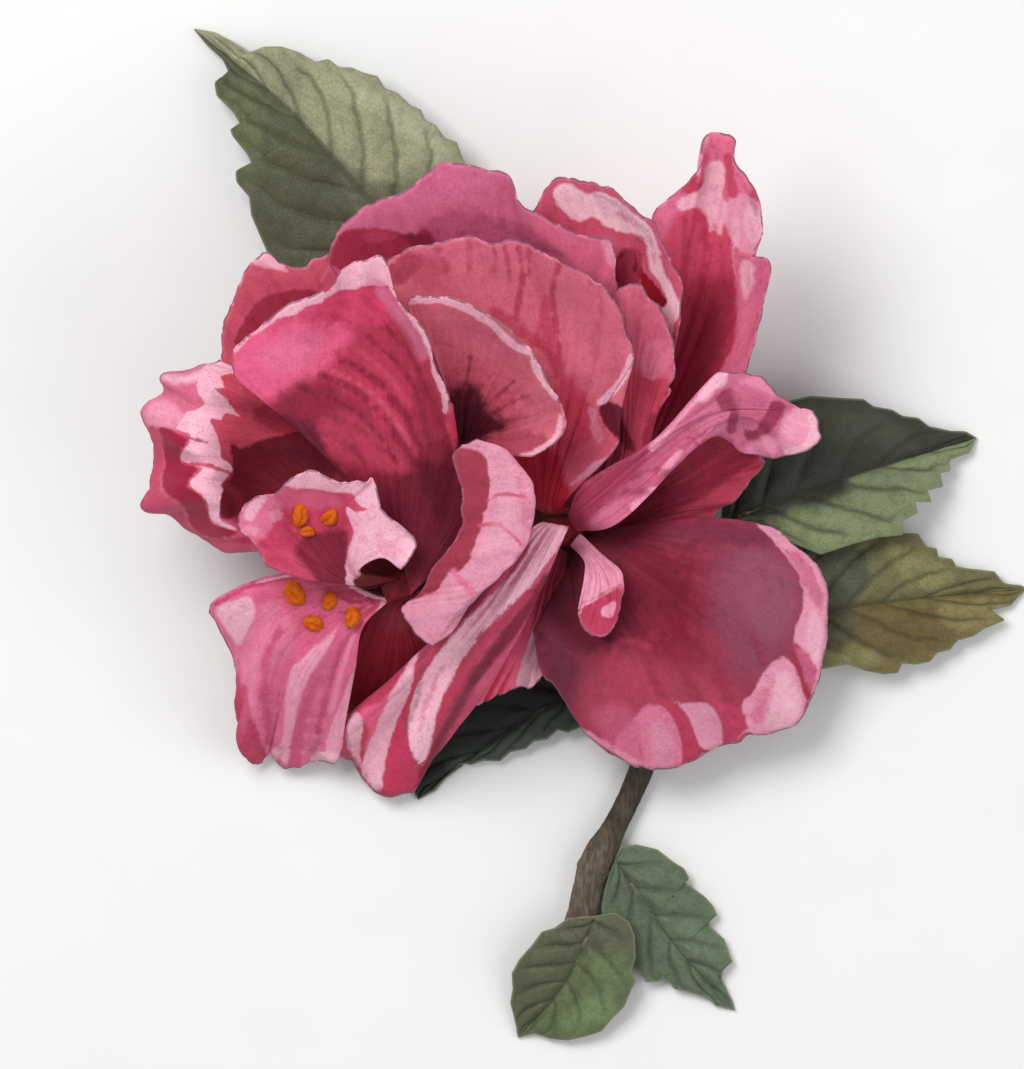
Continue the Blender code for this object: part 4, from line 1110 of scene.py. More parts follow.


# The crested petal at the top
# Its rim folds over into a nearly white crest, which is a painted highlight, with a small hollow under the
# fold that is painted dark as shade.
open_petal(Petal(
    "petal_crested", "pink_petal", 0.085, (2.5, 13, 24), 6,
    [(-7, 50, 32), (-3, 54, 34), (3, 54, 35), (9, 50, 35), (13, 43, 34), (13.5, 35, 32), (13, 27, 30)],
    [(-10, 61.4, 38), (-8, 64.6, 41), (-5.8, 67.8, 43), (-2, 67.8, 44.4), (1, 66.6, 45), (4.6, 66.4, 46),
     (8, 63.8, 47), (12, 61, 47), (14.6, 57, 46.5), (16, 52, 46), (18.4, 46, 44), (17.8, 40, 41),
     (17, 33, 37)],
    [(0, WINE), (0.5, CARMINE), (0.8, ROSE), (1, ROSE)],
    [
        Mark(paint(204, 84, 110), 0.6, [(-9, 62.6), (-5, 61.6), (-2, 60), (2, 60.4), (5, 58.4), (9, 57.4),
             (11.6, 56), (12.2, 53), (10.6, 51), (9.6, 54.6), (7, 57), (3, 57), (-2, 57), (-8, 60)]),
        Mark(MAUVE, 0.8, [(-3, 52), (2, 57), (6, 56.6), (5.4, 50), (4, 47), (0, 47)]),
        # Painted highlight on the crest.
        Mark(paint(250, 202, 213), 0.4, [(-5.8, 65), (-4.6, 66.9), (-2, 66.6), (1, 65.2), (3, 65.6),
             (6, 64.2), (8.6, 62), (11.6, 59.8), (13.6, 57), (14.6, 53), (15.6, 49.6), (17.6, 46),
             (18.4, 43), (17.2, 40.4), (16.6, 37), (15.6, 41), (15, 43.4), (16, 45), (14.6, 48), (13, 50),
             (12.4, 53), (11.6, 56.6), (9, 57.6), (5, 58.6), (2, 60.6), (-1, 60), (-3, 61), (-4.8, 63)]),
        # Painted shade in the hollow under the fold: this mark and the two below it.
        Mark(paint(158, 52, 76), 0.5, [(5.6, 48), (5.6, 52.6), (8, 55), (10.6, 54), (11, 50.6),
             (10, 47.6)]),
        Mark(paint(104, 26, 46), 0.35, [(6.4, 48.4), (6.2, 52), (8, 54), (10, 53), (9.6, 50.6)],
             width=0.7, strength=0.9),
        Mark(paint(138, 22, 36), 0.25, [(10.8, 51), (12.4, 49.4), (14.4, 47), (15.8, 44.6), (14.6, 43.6),
             (12, 44.6), (11, 47)]),
        Mark(paint(200, 92, 118), 0.8, [(5, 46), (10.6, 47), (13, 43), (16, 36), (12, 34), (8, 40)]),
        Mark(SHELL, 0.3, [(14, 43.6), (15.4, 41), (15.8, 37.6)], width=0.9, strength=0.8),
        Mark(GRAPHITE, 0.3, [(2, 65), (5, 63.8), (8.6, 61), (12, 58.4)], width=0.8, strength=0.3),
        Mark(paint(206, 112, 138), 0.6, [(6.6, 61.6), (9.6, 59.6), (12.6, 56.6), (13.4, 52)], width=0.6,
             strength=0.6),
    ],
    waves=2, wave_depth=0.5, frills=6,
))


# The top petal
# A wide mauve petal behind the others, deeper red where it passes behind the hood and shaded under
# the next rim.
open_petal(Petal(
    "petal_top", "rose_petal", 0.13, (-5, 13, 26), 8,
    [(-27, 27, 26), (-26, 38, 29), (-18, 43, 31), (-9, 43, 32), (-2, 40, 32), (2, 33, 31)],
    [(-45, 50, 33), (-48.4, 53.6, 35), (-46.4, 58.4, 37.5), (-42.6, 61.8, 38.6), (-38, 64, 39.8),
     (-33.4, 65.8, 41), (-29.6, 69.4, 41.7), (-26, 71.6, 42), (-21.6, 70.8, 42.6), (-18.6, 69.4, 43),
     (-15.6, 68.6, 43.4), (-13, 65.6, 44), (-11.4, 62.6, 44.3), (-8, 61.2, 44.6), (-4.6, 59.4, 45),
     (-1, 56.8, 44.6), (3.4, 56.6, 44), (5.6, 54, 42.6), (6, 50, 40.6), (6.4, 44.6, 37)],
    [(0, WINE), (0.6, CRIMSON), (0.8, paint(192, 94, 126)), (1, paint(196, 98, 130))],
    [
        Mark(paint(166, 74, 104), 1.4, [(-30, 60), (-24, 62), (-14, 60), (-6, 57), (-2, 53), (-10, 54),
             (-24, 55), (-32, 56)], strength=0.85),
        Mark(paint(152, 44, 68), 0.5, [(-49, 53), (-45, 58), (-38, 58.4), (-33, 57), (-30, 58.4),
             (-28, 55.4), (-24, 53.6), (-30, 53), (-38, 51), (-45, 50)]),
        Mark(paint(176, 66, 92), 0.6, [(-42, 57.6), (-38, 58), (-35.6, 57), (-38, 56), (-41, 56)],
             strength=0.8),
        Mark(paint(112, 32, 52), 0.6, [(-35, 57), (-31.6, 57.8), (-29.6, 57.4), (-27.4, 55), (-31, 54.6)],
             strength=0.85),
        Mark(paint(200, 104, 136), 1.5, [(-44, 60), (-36, 64), (-29, 68), (-26, 71), (-18, 69), (-20, 65),
             (-30, 62.6)], strength=0.6),
        Mark(paint(216, 106, 136), 1.0, [(-8, 61), (-1, 56.4), (4, 56), (5, 49), (1, 49), (-3, 53),
             (-9, 58)]),
        Mark(SHELL, 0.4, [(3, 56.4), (5.6, 55.6), (5.8, 51), (4.4, 52.4), (3.6, 54.6)], strength=0.85),
        Mark(SHELL, 0.3, [(-12, 64), (-10.6, 62.4), (-8.6, 61.6)], width=0.9, strength=0.8),
        Mark(paint(140, 62, 88), 0.4, [(-28, 58), (-22, 57.6), (-16, 58.6), (-12, 57), (-4, 53.6)],
             width=0.6, strength=0.5),
    ],
    waves=3, wave_depth=0.6, frills=6,
))


# The broad upper petal
# Salmon pink and wide, with dark streaks from its hollow to its rim; its right lobe turns up to a
# pale edge.
open_petal(Petal(
    "petal_upper_broad", "rose_petal", 0.19, (-7.5, 7.5, 30), 10,
    [(-24, 30, 36), (-21, 36, 37), (-13, 39, 38), (-5, 38, 38), (1, 34, 38), (3, 27, 37), (6.6, 17.6, 37)],
    [(-36, 45, 43), (-38, 50.5, 46), (-34.4, 53.6, 47.5), (-28, 56, 49), (-22.6, 57, 50), (-18, 55.8, 50),
     (-14, 56.2, 50), (-10, 55, 50), (-6, 53.6, 50), (-2.4, 50.6, 50), (1.6, 48.4, 49.4), (5, 46.4, 48.4),
     (7, 42.6, 47.5), (8, 37.6, 46), (8.8, 33, 44.5), (4.8, 25.6, 41)],
    [(0, paint(164, 34, 52)), (0.35, paint(186, 62, 84)), (0.55, paint(202, 94, 114)),
     (0.8, paint(208, 104, 124)), (1, SALMON)],
    [
        Mark(paint(206, 104, 126), 1.0, [(-4, 50), (0, 49), (4, 45), (6, 40), (7, 34), (5, 29), (1, 26),
             (-1, 28), (-2, 34), (-4, 40), (-5, 45)]),
        Mark(paint(182, 62, 84), 0.7, [(-17, 42.6), (-12, 38.6), (-7, 36), (-4.4, 31), (-3, 26)],
             width=2.4, strength=0.85),
        Mark(paint(192, 74, 98), 0.5, [(-7.4, 46), (-5.6, 40), (-4.4, 34), (-6.6, 36), (-8.6, 40)],
             strength=0.8),
        Mark(paint(180, 64, 86), 0.4, [(-4.6, 51.6), (-6, 46.4), (-5.2, 40), (-4.8, 34)], width=1.0,
             strength=0.85),
        Mark(paint(170, 58, 80), 0.35, [(-12.6, 55), (-11.6, 50), (-12.4, 45), (-13, 41)], width=1.1,
             strength=0.8),
        Mark(paint(176, 66, 88), 0.35, [(-15.4, 56), (-14.4, 52), (-14.2, 48)], width=0.7, strength=0.75),
        Mark(paint(176, 66, 88), 0.35, [(-17.4, 56.4), (-16.8, 53), (-17, 50.4)], width=0.6,
             strength=0.7),
        Mark(paint(178, 68, 90), 0.35, [(-10.4, 55.4), (-10.2, 52), (-10.6, 50)], width=0.6,
             strength=0.7),
        Mark(paint(178, 70, 92), 0.5, [(-22, 56.4), (-21.6, 53), (-22, 50)], width=0.8, strength=0.6),
        Mark(paint(182, 72, 96), 0.6, [(-28, 55.6), (-26.4, 52), (-26, 48)], width=1.0, strength=0.5),
        Mark(paint(188, 60, 84), 1.4, [(-6, 10), (-6, 24), (-3, 30), (0, 28), (2, 24), (5, 16), (3, 9)]),
        Mark(paint(170, 34, 52), 0.8, [(-13, 16), (-8, 17), (-4.6, 15), (-2.4, 10), (-4, 5), (-13, 9)]),
        Mark(paint(198, 82, 106), 0.8, [(-4, 14), (-2.6, 9), (2, 10.4), (9.4, 14.6), (8, 19), (4.4, 20.6),
             (1, 18)]),
        Mark(SHELL, 0.4, [(-2.6, 9.6), (2, 12), (5.4, 13.8), (8.6, 17.2), (7, 18.2), (4.4, 15.4),
             (1, 13.4)], strength=0.85),
        # Painted shadow in the hollow beside the inner right petal.
        Mark(paint(104, 28, 44), 0.35, [(3, 25.6), (6, 25.2), (8.4, 23), (8.2, 17.8), (6.6, 18.4),
             (4.4, 20.6), (3.2, 23)]),
        Mark(paint(206, 116, 138), 0.4, [(0.8, 24.4), (2.4, 24.2), (2.6, 22), (3.8, 19), (2.8, 17.4),
             (1.4, 20), (1.2, 22)]),
        Mark(BLUSH, 0.25, [(9, 34), (8, 31), (6.4, 28.6), (4.4, 26.6), (3, 25.4)], width=1.4),
        Mark(paint(150, 44, 66), 0.8, [(-38, 50), (-34, 54), (-31, 53), (-32, 50), (-35, 47.6)],
             strength=0.7),
        Mark(paint(184, 74, 98), 1.5, [(-34, 52), (-28, 54), (-26, 50), (-30, 46)], strength=0.5),
        Mark(GRAPHITE, 0.3, [(1.4, 48.8), (5, 46.6), (7, 42.6), (8, 38)], width=0.8, strength=0.3),
    ],
    waves=4, wave_depth=0.7, frills=6, flutes=1.3,
))


# The small inner petal on the right
# Tucked upright between the broad petal and the long one, rosy above a dark red base.
open_petal(Petal(
    "petal_inner_right", "rose_petal", 0.16, (8, 12, 31), 6,
    [(6, 30, 35), (9, 33, 35.5), (13, 31, 35.5), (13.8, 22.6, 35)],
    [(5, 41, 39.5), (6, 46.4, 43), (10, 47.6, 44.6), (13.6, 44, 44.6), (16, 40, 43.6), (17, 32, 41),
     (16, 27, 39)],
    [(0, paint(150, 46, 66)), (0.4, paint(190, 66, 90)), (0.7, paint(206, 98, 124)),
     (1, paint(210, 104, 130))],
    [
        Mark(paint(196, 70, 94), 0.8, [(8, 31), (13, 31), (16.6, 29), (14, 21), (9, 17), (5, 22),
             (5, 27)]),
        Mark(paint(222, 118, 146), 0.4, [(11, 31), (11, 35), (13, 37.4), (15.6, 37), (17, 34), (15.6, 31),
             (13.4, 29.6)]),
        # Painted shadow in the hollow beside the broad petal.
        Mark(paint(134, 38, 58), 0.4, [(3, 25.6), (5, 26.8), (6.4, 24), (8.4, 20), (9.8, 16.4), (8, 16.6),
             (5, 20.4), (3, 23.4)]),
        Mark(paint(156, 50, 72), 0.6, [(11, 18), (13, 23), (15.4, 24), (14, 18)]),
        Mark(GRAPHITE, 0.3, [(8.6, 38), (9, 34), (8.6, 31)], width=0.8, strength=0.25),
    ],
))


# The left-hand back petal
# It shows as a salmon band behind the hood, darker along the shadow that the hood throws.
open_petal(Petal(
    "petal_left_back", "rose_petal", 0.55, (-28, 8, 28), 6,
    [(-48, 17, 27.5), (-50, 28, 28), (-46, 35, 28.5), (-39, 35, 28)],
    [(-66, 27, 28), (-68.8, 33, 28.6), (-68.8, 38, 29.6), (-67.4, 43, 30.6), (-65.4, 48, 31.6),
     (-63.6, 51.6, 32.4), (-60.6, 53.8, 33), (-58, 51.8, 33), (-54, 51, 33), (-50.4, 53, 33),
     (-47.6, 53.8, 33), (-45, 51, 32), (-41, 47, 31)],
    [(0, WINE), (0.6, CRIMSON), (0.8, paint(184, 72, 94)), (1, paint(192, 78, 98))],
    [
        Mark(paint(150, 44, 64), 0.35, [(-66.4, 36), (-64.6, 41), (-62, 44.6), (-57.6, 46.4), (-51, 46.8),
             (-46, 44), (-56, 38), (-64, 34)]),
        Mark(paint(200, 88, 108), 1.0, [(-64, 50), (-58, 49), (-50, 50), (-46, 50), (-50, 53), (-60, 53)],
             strength=0.7),
        Mark(BLUSH, 0.4, [(-63.4, 53), (-60.6, 55), (-57.6, 52), (-56.4, 50.4), (-59, 50.6),
             (-61.6, 51.4)], strength=0.9),
        Mark(paint(222, 120, 144), 0.3, [(-46.6, 52.6), (-48.6, 51), (-50, 48.6)], width=0.5,
             strength=0.6),
        Mark(SHELL, 0.3, [(-69, 36), (-67.6, 42), (-65.4, 48), (-63.4, 51.6)], width=0.5, strength=0.6),
    ],
    waves=2.5, wave_depth=0.6,
))


# The left wing
# The petal folds back on itself: its inside, painted dark as the shade in the throat, ends in a jagged,
# nearly white crest that is a painted highlight, and the outer half falls away beyond it in pinks and reds.
open_petal(Petal(
    "petal_left_wing", "pink_petal", 0.90, (-41, -5.6, 32.6), 8.8,
    [(-54, -4.6, 31), (-59, 3, 30), (-60, 12, 30), (-57, 20, 31), (-48, 19, 33)],
    [(-66, -2, 30), (-71, -1.2, 28.5), (-75, 0.6, 27), (-79, 3.2, 27), (-83.8, 5.8, 28),
     (-81.8, 8.6, 28.5), (-82.6, 12, 29.4), (-82.8, 15, 30.2), (-81.4, 19, 31), (-83.8, 23, 31.6),
     (-83, 25.4, 32.4), (-81, 27.6, 33.2), (-80.2, 30.4, 34), (-75.6, 30.8, 35), (-72.6, 32.4, 35.6),
     (-69.6, 33.8, 36)],
    [(0, THROAT), (0.35, paint(112, 28, 46)), (0.55, CRIMSON), (0.8, ROSE), (1, ROSE)],
    [
        Mark(paint(200, 76, 96), 0.5, [(-69, 30.4), (-66, 31.6), (-62, 28), (-57, 23), (-56, 19),
             (-62, 18), (-65, 17), (-68, 16), (-70.6, 20), (-68, 24)]),
        Mark(paint(160, 48, 66), 0.8, [(-63, 25), (-59, 24), (-54, 21), (-57, 19), (-62, 21.6)],
             strength=0.85),
        # Painted shade inside the fold, where the throat is in shadow: this mark and the next two.
        Mark(paint(108, 24, 40), 0.4, [(-67.4, 17.4), (-65, 16.6), (-62, 18), (-58, 19), (-52, 20),
             (-46, 14), (-50, 9), (-58, 6), (-63, 5), (-68.6, 3), (-69.2, 8), (-67, 12.6)]),
        Mark(paint(90, 18, 32), 1.4, [(-62, 16), (-54, 17), (-48, 13), (-54, 11), (-60, 12)],
             strength=0.8),
        Mark(paint(150, 40, 60), 0.6, [(-68.6, 10), (-65.6, 7), (-66, 3.6)], width=1.6, strength=0.6),
        Mark(paint(206, 102, 130), 0.6, [(-85, 20), (-85, 27), (-80, 32), (-72, 33), (-70, 28), (-74, 22),
             (-76, 20)]),
        Mark(SHELL, 0.8, [(-83, 21.6), (-82.6, 25), (-79, 26), (-76, 22.6), (-78, 20.6)], strength=0.8),
        Mark(BLUSH, 0.6, [(-81.4, 30.6), (-76, 30.4), (-71, 32), (-72, 30), (-77, 28.6)], strength=0.8),
        # Painted highlight: the jagged, nearly white crest along the fold.
        Mark(BLUSH, 0.18, [(-72.4, 31.6), (-70, 33.2), (-67.2, 32.2), (-65.8, 30.9), (-68.4, 30.5),
             (-69.2, 29.9), (-68.4, 28.2), (-70.2, 28), (-68, 26), (-66.6, 24), (-65.6, 22.6),
             (-67.6, 23.3), (-68.6, 23.1), (-69.2, 21.9), (-71, 22.1), (-70.6, 20.4), (-69.4, 18),
             (-69, 15), (-68, 14), (-66.8, 12.6), (-67.6, 11.6), (-69.2, 9.6), (-68.6, 8.8), (-69.2, 7),
             (-69, 3.4), (-67.6, 2.4), (-66, 1.2), (-69.6, 2), (-70.9, 3.6), (-71.6, 6.6), (-72.8, 8),
             (-74.8, 9.6), (-74, 11), (-72.4, 12.8), (-74, 13.4), (-76.4, 14.6), (-76, 16.4), (-74.8, 18),
             (-75.2, 19.6), (-77.4, 20.3), (-75.6, 23), (-73.6, 24), (-72.2, 25.4), (-73.6, 28)]),
        Mark(paint(154, 28, 60), 0.35, [(-81, 20.4), (-78.4, 20.4), (-76.8, 19.4), (-75.2, 19),
             (-75.4, 17.6), (-76.6, 16), (-76.4, 14.4), (-73.8, 13.2), (-73, 12.6), (-74.8, 11),
             (-74.8, 9.4), (-72.8, 7.8), (-71.6, 6), (-70.9, 3.2), (-68.6, 1.8), (-66, 0.6), (-70, -0.4),
             (-74, 1.4), (-76, 5.6), (-79, 8), (-80, 10), (-79.4, 14), (-80, 17)]),
        Mark(paint(190, 70, 100), 0.4, [(-85, 5), (-83.6, 12), (-83, 20), (-80.4, 20), (-79.8, 14),
             (-80.4, 9.6), (-79, 7.4), (-76.2, 5.8), (-74.2, 1.6), (-70, -0.6), (-64, 0), (-64, -3.4),
             (-74, -2), (-80, 1.6)]),
        Mark(paint(168, 48, 76), 0.5, [(-72, -0.6), (-68, -0.8), (-63.6, -0.6)], width=0.9, strength=0.8),
        Mark(CARMINE, 0.2, [(-75, 13.6), (-72.6, 13.6), (-69.6, 12.8), (-67, 11.8)], width=0.7,
             strength=0.9),
        Mark(CRIMSON, 0.2, [(-78, 19.8), (-75, 18.8), (-71.6, 17.8)], width=0.5, strength=0.8),
        Mark(paint(206, 96, 126), 0.5, [(-76.4, 28.6), (-74.4, 26.6), (-72.6, 25.2)], width=1.0,
             strength=0.7),
        # Painted shade: the throat seen by the claw is painted dark.
        Mark(paint(104, 30, 36), 0.3, [(-44, -9.4), (-42, -11), (-33, -12), (-32, -3), (-44, -3)]),
    ],
    crest=[(-62, -2.4, 36), (-67.5, 2, 39), (-70, 6, 41), (-73, 10, 42), (-71.4, 13, 41.6),
         (-73.6, 17, 42), (-72.4, 22, 42), (-73, 26, 42), (-69, 29, 41), (-62, 31, 38)],
    waves=3.5, wave_depth=0.9, frills=8, frill_depth=0.4,
))


# The hood
# The great cupped petal that stands over the middle of the bloom: bright rose on its crown, almost black
# red in its hollow and dark on its left, both painted shade, with a pale turned lip along its upper and
# right-hand margins.
open_petal(Petal(
    "petal_hood", "crimson_petal", 0.78, (-34, -5, 38.5), 14,
    [(-51.6, 17.6, 42), (-54, 24, 45), (-47, 30, 46), (-40, 31, 46), (-34, 28, 46), (-28, 18, 44),
     (-22, 2, 40.5)],
    [(-66.5, 30.4, 50), (-66.6, 35.6, 53), (-61, 40.2, 56), (-55.8, 44.6, 58), (-50, 46.4, 59.4),
     (-45.6, 50.6, 60.6), (-42, 52.4, 61), (-38.6, 52.6, 61), (-36.6, 48, 60.6), (-34, 44, 60),
     (-31, 40.2, 59.4), (-28.8, 36, 58.6), (-27.2, 30, 57), (-25.8, 26, 54.6), (-26, 21, 50.6)],
    [(0, THROAT), (0.3, paint(100, 24, 40)), (0.5, paint(140, 38, 60)), (0.75, paint(170, 52, 76)),
     (1, CARMINE)],
    [
        Mark(paint(228, 96, 134), 2.2, [(-69, 33), (-65, 38.6), (-58, 42.6), (-50, 44.6), (-45, 43),
             (-43.6, 38), (-46, 33), (-50, 30.4), (-54, 29), (-58, 26), (-63, 25)]),
        Mark(paint(216, 72, 110), 1.6, [(-54, 41), (-49, 45.6), (-43, 47.8), (-38, 47.4), (-34, 42),
             (-37, 38.6), (-43, 40)], strength=0.9),
        Mark(paint(196, 54, 88), 0.8, [(-60, 39), (-54, 42.2), (-47, 41.6), (-41, 37)], width=1.3,
             strength=0.6),
        Mark(paint(196, 54, 88), 0.8, [(-53, 44), (-48, 44.6), (-42, 42), (-37, 38)], width=1.0,
             strength=0.5),
        Mark(paint(190, 50, 84), 0.7, [(-44, 47), (-40, 43.4), (-35.6, 39.6)], width=1.2, strength=0.5),
        Mark(paint(238, 126, 158), 1.6, [(-62, 34), (-56, 38), (-50, 38), (-52, 33), (-58, 31)],
             strength=0.6),
        Mark(paint(180, 56, 82), 2.2, [(-45, 36), (-38, 41), (-33, 40), (-29.4, 34), (-27.6, 26),
             (-30, 16), (-38, 20), (-46, 25), (-49, 31)]),
        Mark(paint(138, 38, 60), 1.8, [(-60, 24.6), (-55, 28.4), (-50, 29.6), (-45, 27), (-40, 22),
             (-44, 20), (-50, 21), (-55, 20)], strength=0.9),
        Mark(paint(176, 60, 84), 1.4, [(-50, 22), (-45, 24), (-40, 21), (-34, 15), (-31, 11), (-36, 12),
             (-42, 13.6), (-49, 16)], strength=0.85),
        # Painted shade: the dark patch on the left, the almost black red of the hollow and its dark
        # right-hand band.
        Mark(paint(96, 32, 48), 1.0, [(-60, 22.4), (-54, 22.4), (-50.6, 19.6), (-48, 14), (-45, 8),
             (-54, 10)], strength=0.85),
        Mark(paint(106, 24, 42), 2.2, [(-47.6, 12), (-40, 11), (-34, 12), (-29, 17), (-24, 16), (-21, 2),
             (-28, -9), (-38, -6), (-44, 4)]),
        Mark(paint(84, 16, 30), 1.6, [(-30, 16), (-26, 19), (-24, 12), (-23, 2), (-26, -4), (-29, 4),
             (-31, 10)], strength=0.7),
        Mark(paint(144, 42, 64), 1.2, [(-32, 30), (-29, 28), (-27, 22), (-26, 16), (-29, 14), (-33, 20)],
             strength=0.7),
        Mark(paint(118, 30, 50), 0.5, [(-55, 28.6), (-48, 26.4), (-40, 20.6), (-35.6, 14)], width=1.0,
             strength=0.75),
        Mark(paint(114, 26, 46), 0.6, [(-50, 30.6), (-44, 28), (-38, 22.6), (-32, 14)], width=1.4,
             strength=0.7),
        Mark(paint(206, 96, 122), 0.5, [(-48, 31.4), (-42, 28.6), (-37, 23.6), (-33, 17.6)], width=0.8,
             strength=0.6),
        Mark(paint(116, 26, 48), 0.6, [(-46, 33.6), (-40, 30), (-34.6, 24), (-30.6, 15)], width=1.3,
             strength=0.7),
        Mark(paint(204, 92, 118), 0.5, [(-43, 35.6), (-37.6, 31), (-33, 25)], width=0.8, strength=0.5),
        Mark(paint(126, 34, 56), 0.5, [(-41, 38), (-36, 33.6), (-31.6, 27), (-29.4, 18)], width=0.9,
             strength=0.65),
        Mark(paint(130, 36, 58), 0.5, [(-37, 39.6), (-32.8, 34.6), (-29.4, 27)], width=0.8, strength=0.6),
        Mark(paint(128, 34, 56), 0.6, [(-49, 23.4), (-43, 20.6), (-38, 16)], width=1.0, strength=0.5),
        Mark(paint(128, 34, 56), 0.6, [(-50, 19.8), (-45, 17.4), (-41, 13.6)], width=1.0, strength=0.5),
        Mark(BLUSH, 0.3, [(-47, 48), (-45, 53), (-39, 54), (-36.4, 48.6), (-38, 47.6), (-41, 47.8),
             (-45, 46.8)]),
        Mark(paint(206, 116, 146), 0.8, [(-38.6, 47), (-35.4, 42.8), (-32, 38), (-30.4, 34.6)], width=2.4,
             strength=0.8),
        Mark(BLUSH, 0.25, [(-37, 48.6), (-34.2, 44), (-31.2, 39.8), (-29.2, 36), (-28, 31), (-26.6, 27.4),
             (-26.2, 24)], width=1.1, strength=0.95),
        Mark(BLUSH, 0.25, [(-66.8, 35), (-64, 38.2), (-61, 39.8), (-56.6, 43), (-53.4, 45), (-49, 46),
             (-46.6, 48)], width=1.0, strength=0.95),
        Mark(BLUSH, 0.3, [(-57.6, 43), (-53.4, 45.8), (-49.4, 46.4), (-49.8, 44.6), (-53, 43.6),
             (-55.4, 41.8)]),
    ],
    waves=1.5, wave_depth=0.4, frills=5, frill_depth=0.4, flutes=1.2,
    edge=(CARMINE, 0.35, 0.2),
))


# The round petal
# A small dusty rose saucer in the middle, whose dark eye runs out along its veins to a crisp white rim.
open_petal(Petal(
    "petal_round", "rose_petal", 0.66, (-22, 17, 37), 6,
    [(-26, 26, 41), (-27, 33, 43), (-21, 34, 44.5), (-16, 31, 44.5), (-12.5, 26, 44), (-13, 20, 42),
     (-16.5, 15.5, 40)],
    [(-29, 34, 47), (-33.6, 44.4, 51), (-29, 45.6, 53), (-24, 45, 54), (-19.6, 42.8, 54.6),
     (-15.6, 39.6, 55), (-12.8, 36.6, 55), (-9.4, 35, 55), (-7.6, 30.6, 54), (-4.6, 27, 53),
     (-3.6, 23, 51.4), (-4.6, 18.6, 49.4), (-9.6, 15, 46)],
    [(0, paint(90, 24, 38)), (0.35, paint(140, 46, 64)), (0.55, paint(190, 82, 102)),
     (0.8, paint(200, 98, 116)), (1, paint(204, 102, 120))],
    [
        Mark(paint(172, 66, 86), 2.4, [(-30, 20), (-29, 29), (-22, 31), (-15, 27), (-12, 21), (-15, 18)],
             strength=0.6),
        Mark(paint(86, 24, 38), 1.2, [(-28, 18), (-28, 24), (-25, 27.6), (-21.6, 29), (-19, 27),
             (-19, 24.6), (-16, 22.6), (-14.6, 20.6), (-19, 18.6), (-23, 17)]),
        Mark(THROAT, 1.4, [(-28, 18), (-26, 26), (-21, 26), (-18, 22), (-22, 18)], strength=0.4),
        Mark(paint(112, 36, 54), 0.4, [(-23, 27), (-22, 31), (-21.6, 34)], width=0.6, strength=0.6),
        Mark(paint(112, 36, 54), 0.4, [(-21, 26), (-18.6, 29.6), (-17, 31)], width=0.6, strength=0.6),
        Mark(paint(112, 36, 54), 0.4, [(-19, 24.6), (-15, 28), (-13, 29.6)], width=0.6, strength=0.6),
        Mark(paint(112, 36, 54), 0.4, [(-18, 23), (-13, 25.6), (-10, 27)], width=0.6, strength=0.55),
        Mark(paint(112, 36, 54), 0.4, [(-16, 21.6), (-11, 22.6), (-8.4, 23)], width=0.5, strength=0.5),
        # Painted shade on the lower right of the saucer.
        Mark(paint(166, 64, 84), 1.0, [(-18, 16), (-9, 15.6), (-7, 19), (-14, 20)], strength=0.8),
        Mark(BLUSH, 0.25, [(-33.6, 44.8), (-28, 45), (-25, 44.4), (-21, 42.6), (-17, 40), (-14, 37),
             (-12, 35.6)], width=1.4),
        Mark(BLUSH, 0.25, [(-12, 35.6), (-9.6, 34.6), (-9, 32), (-7, 29), (-5, 26.6)], width=1.5),
        Mark(BLUSH, 0.3, [(-4.4, 22.6), (-4.8, 19.8), (-6.6, 17.4), (-9, 15.9), (-11.4, 15.4)], width=1.1,
             strength=0.9),
        Mark(paint(204, 104, 126), 1.2, [(-27, 42), (-20, 40), (-15, 35), (-18, 34), (-24, 38)],
             strength=0.5),
    ],
    waves=1.5, wave_depth=0.4, frills=4, flutes=1.2,
))


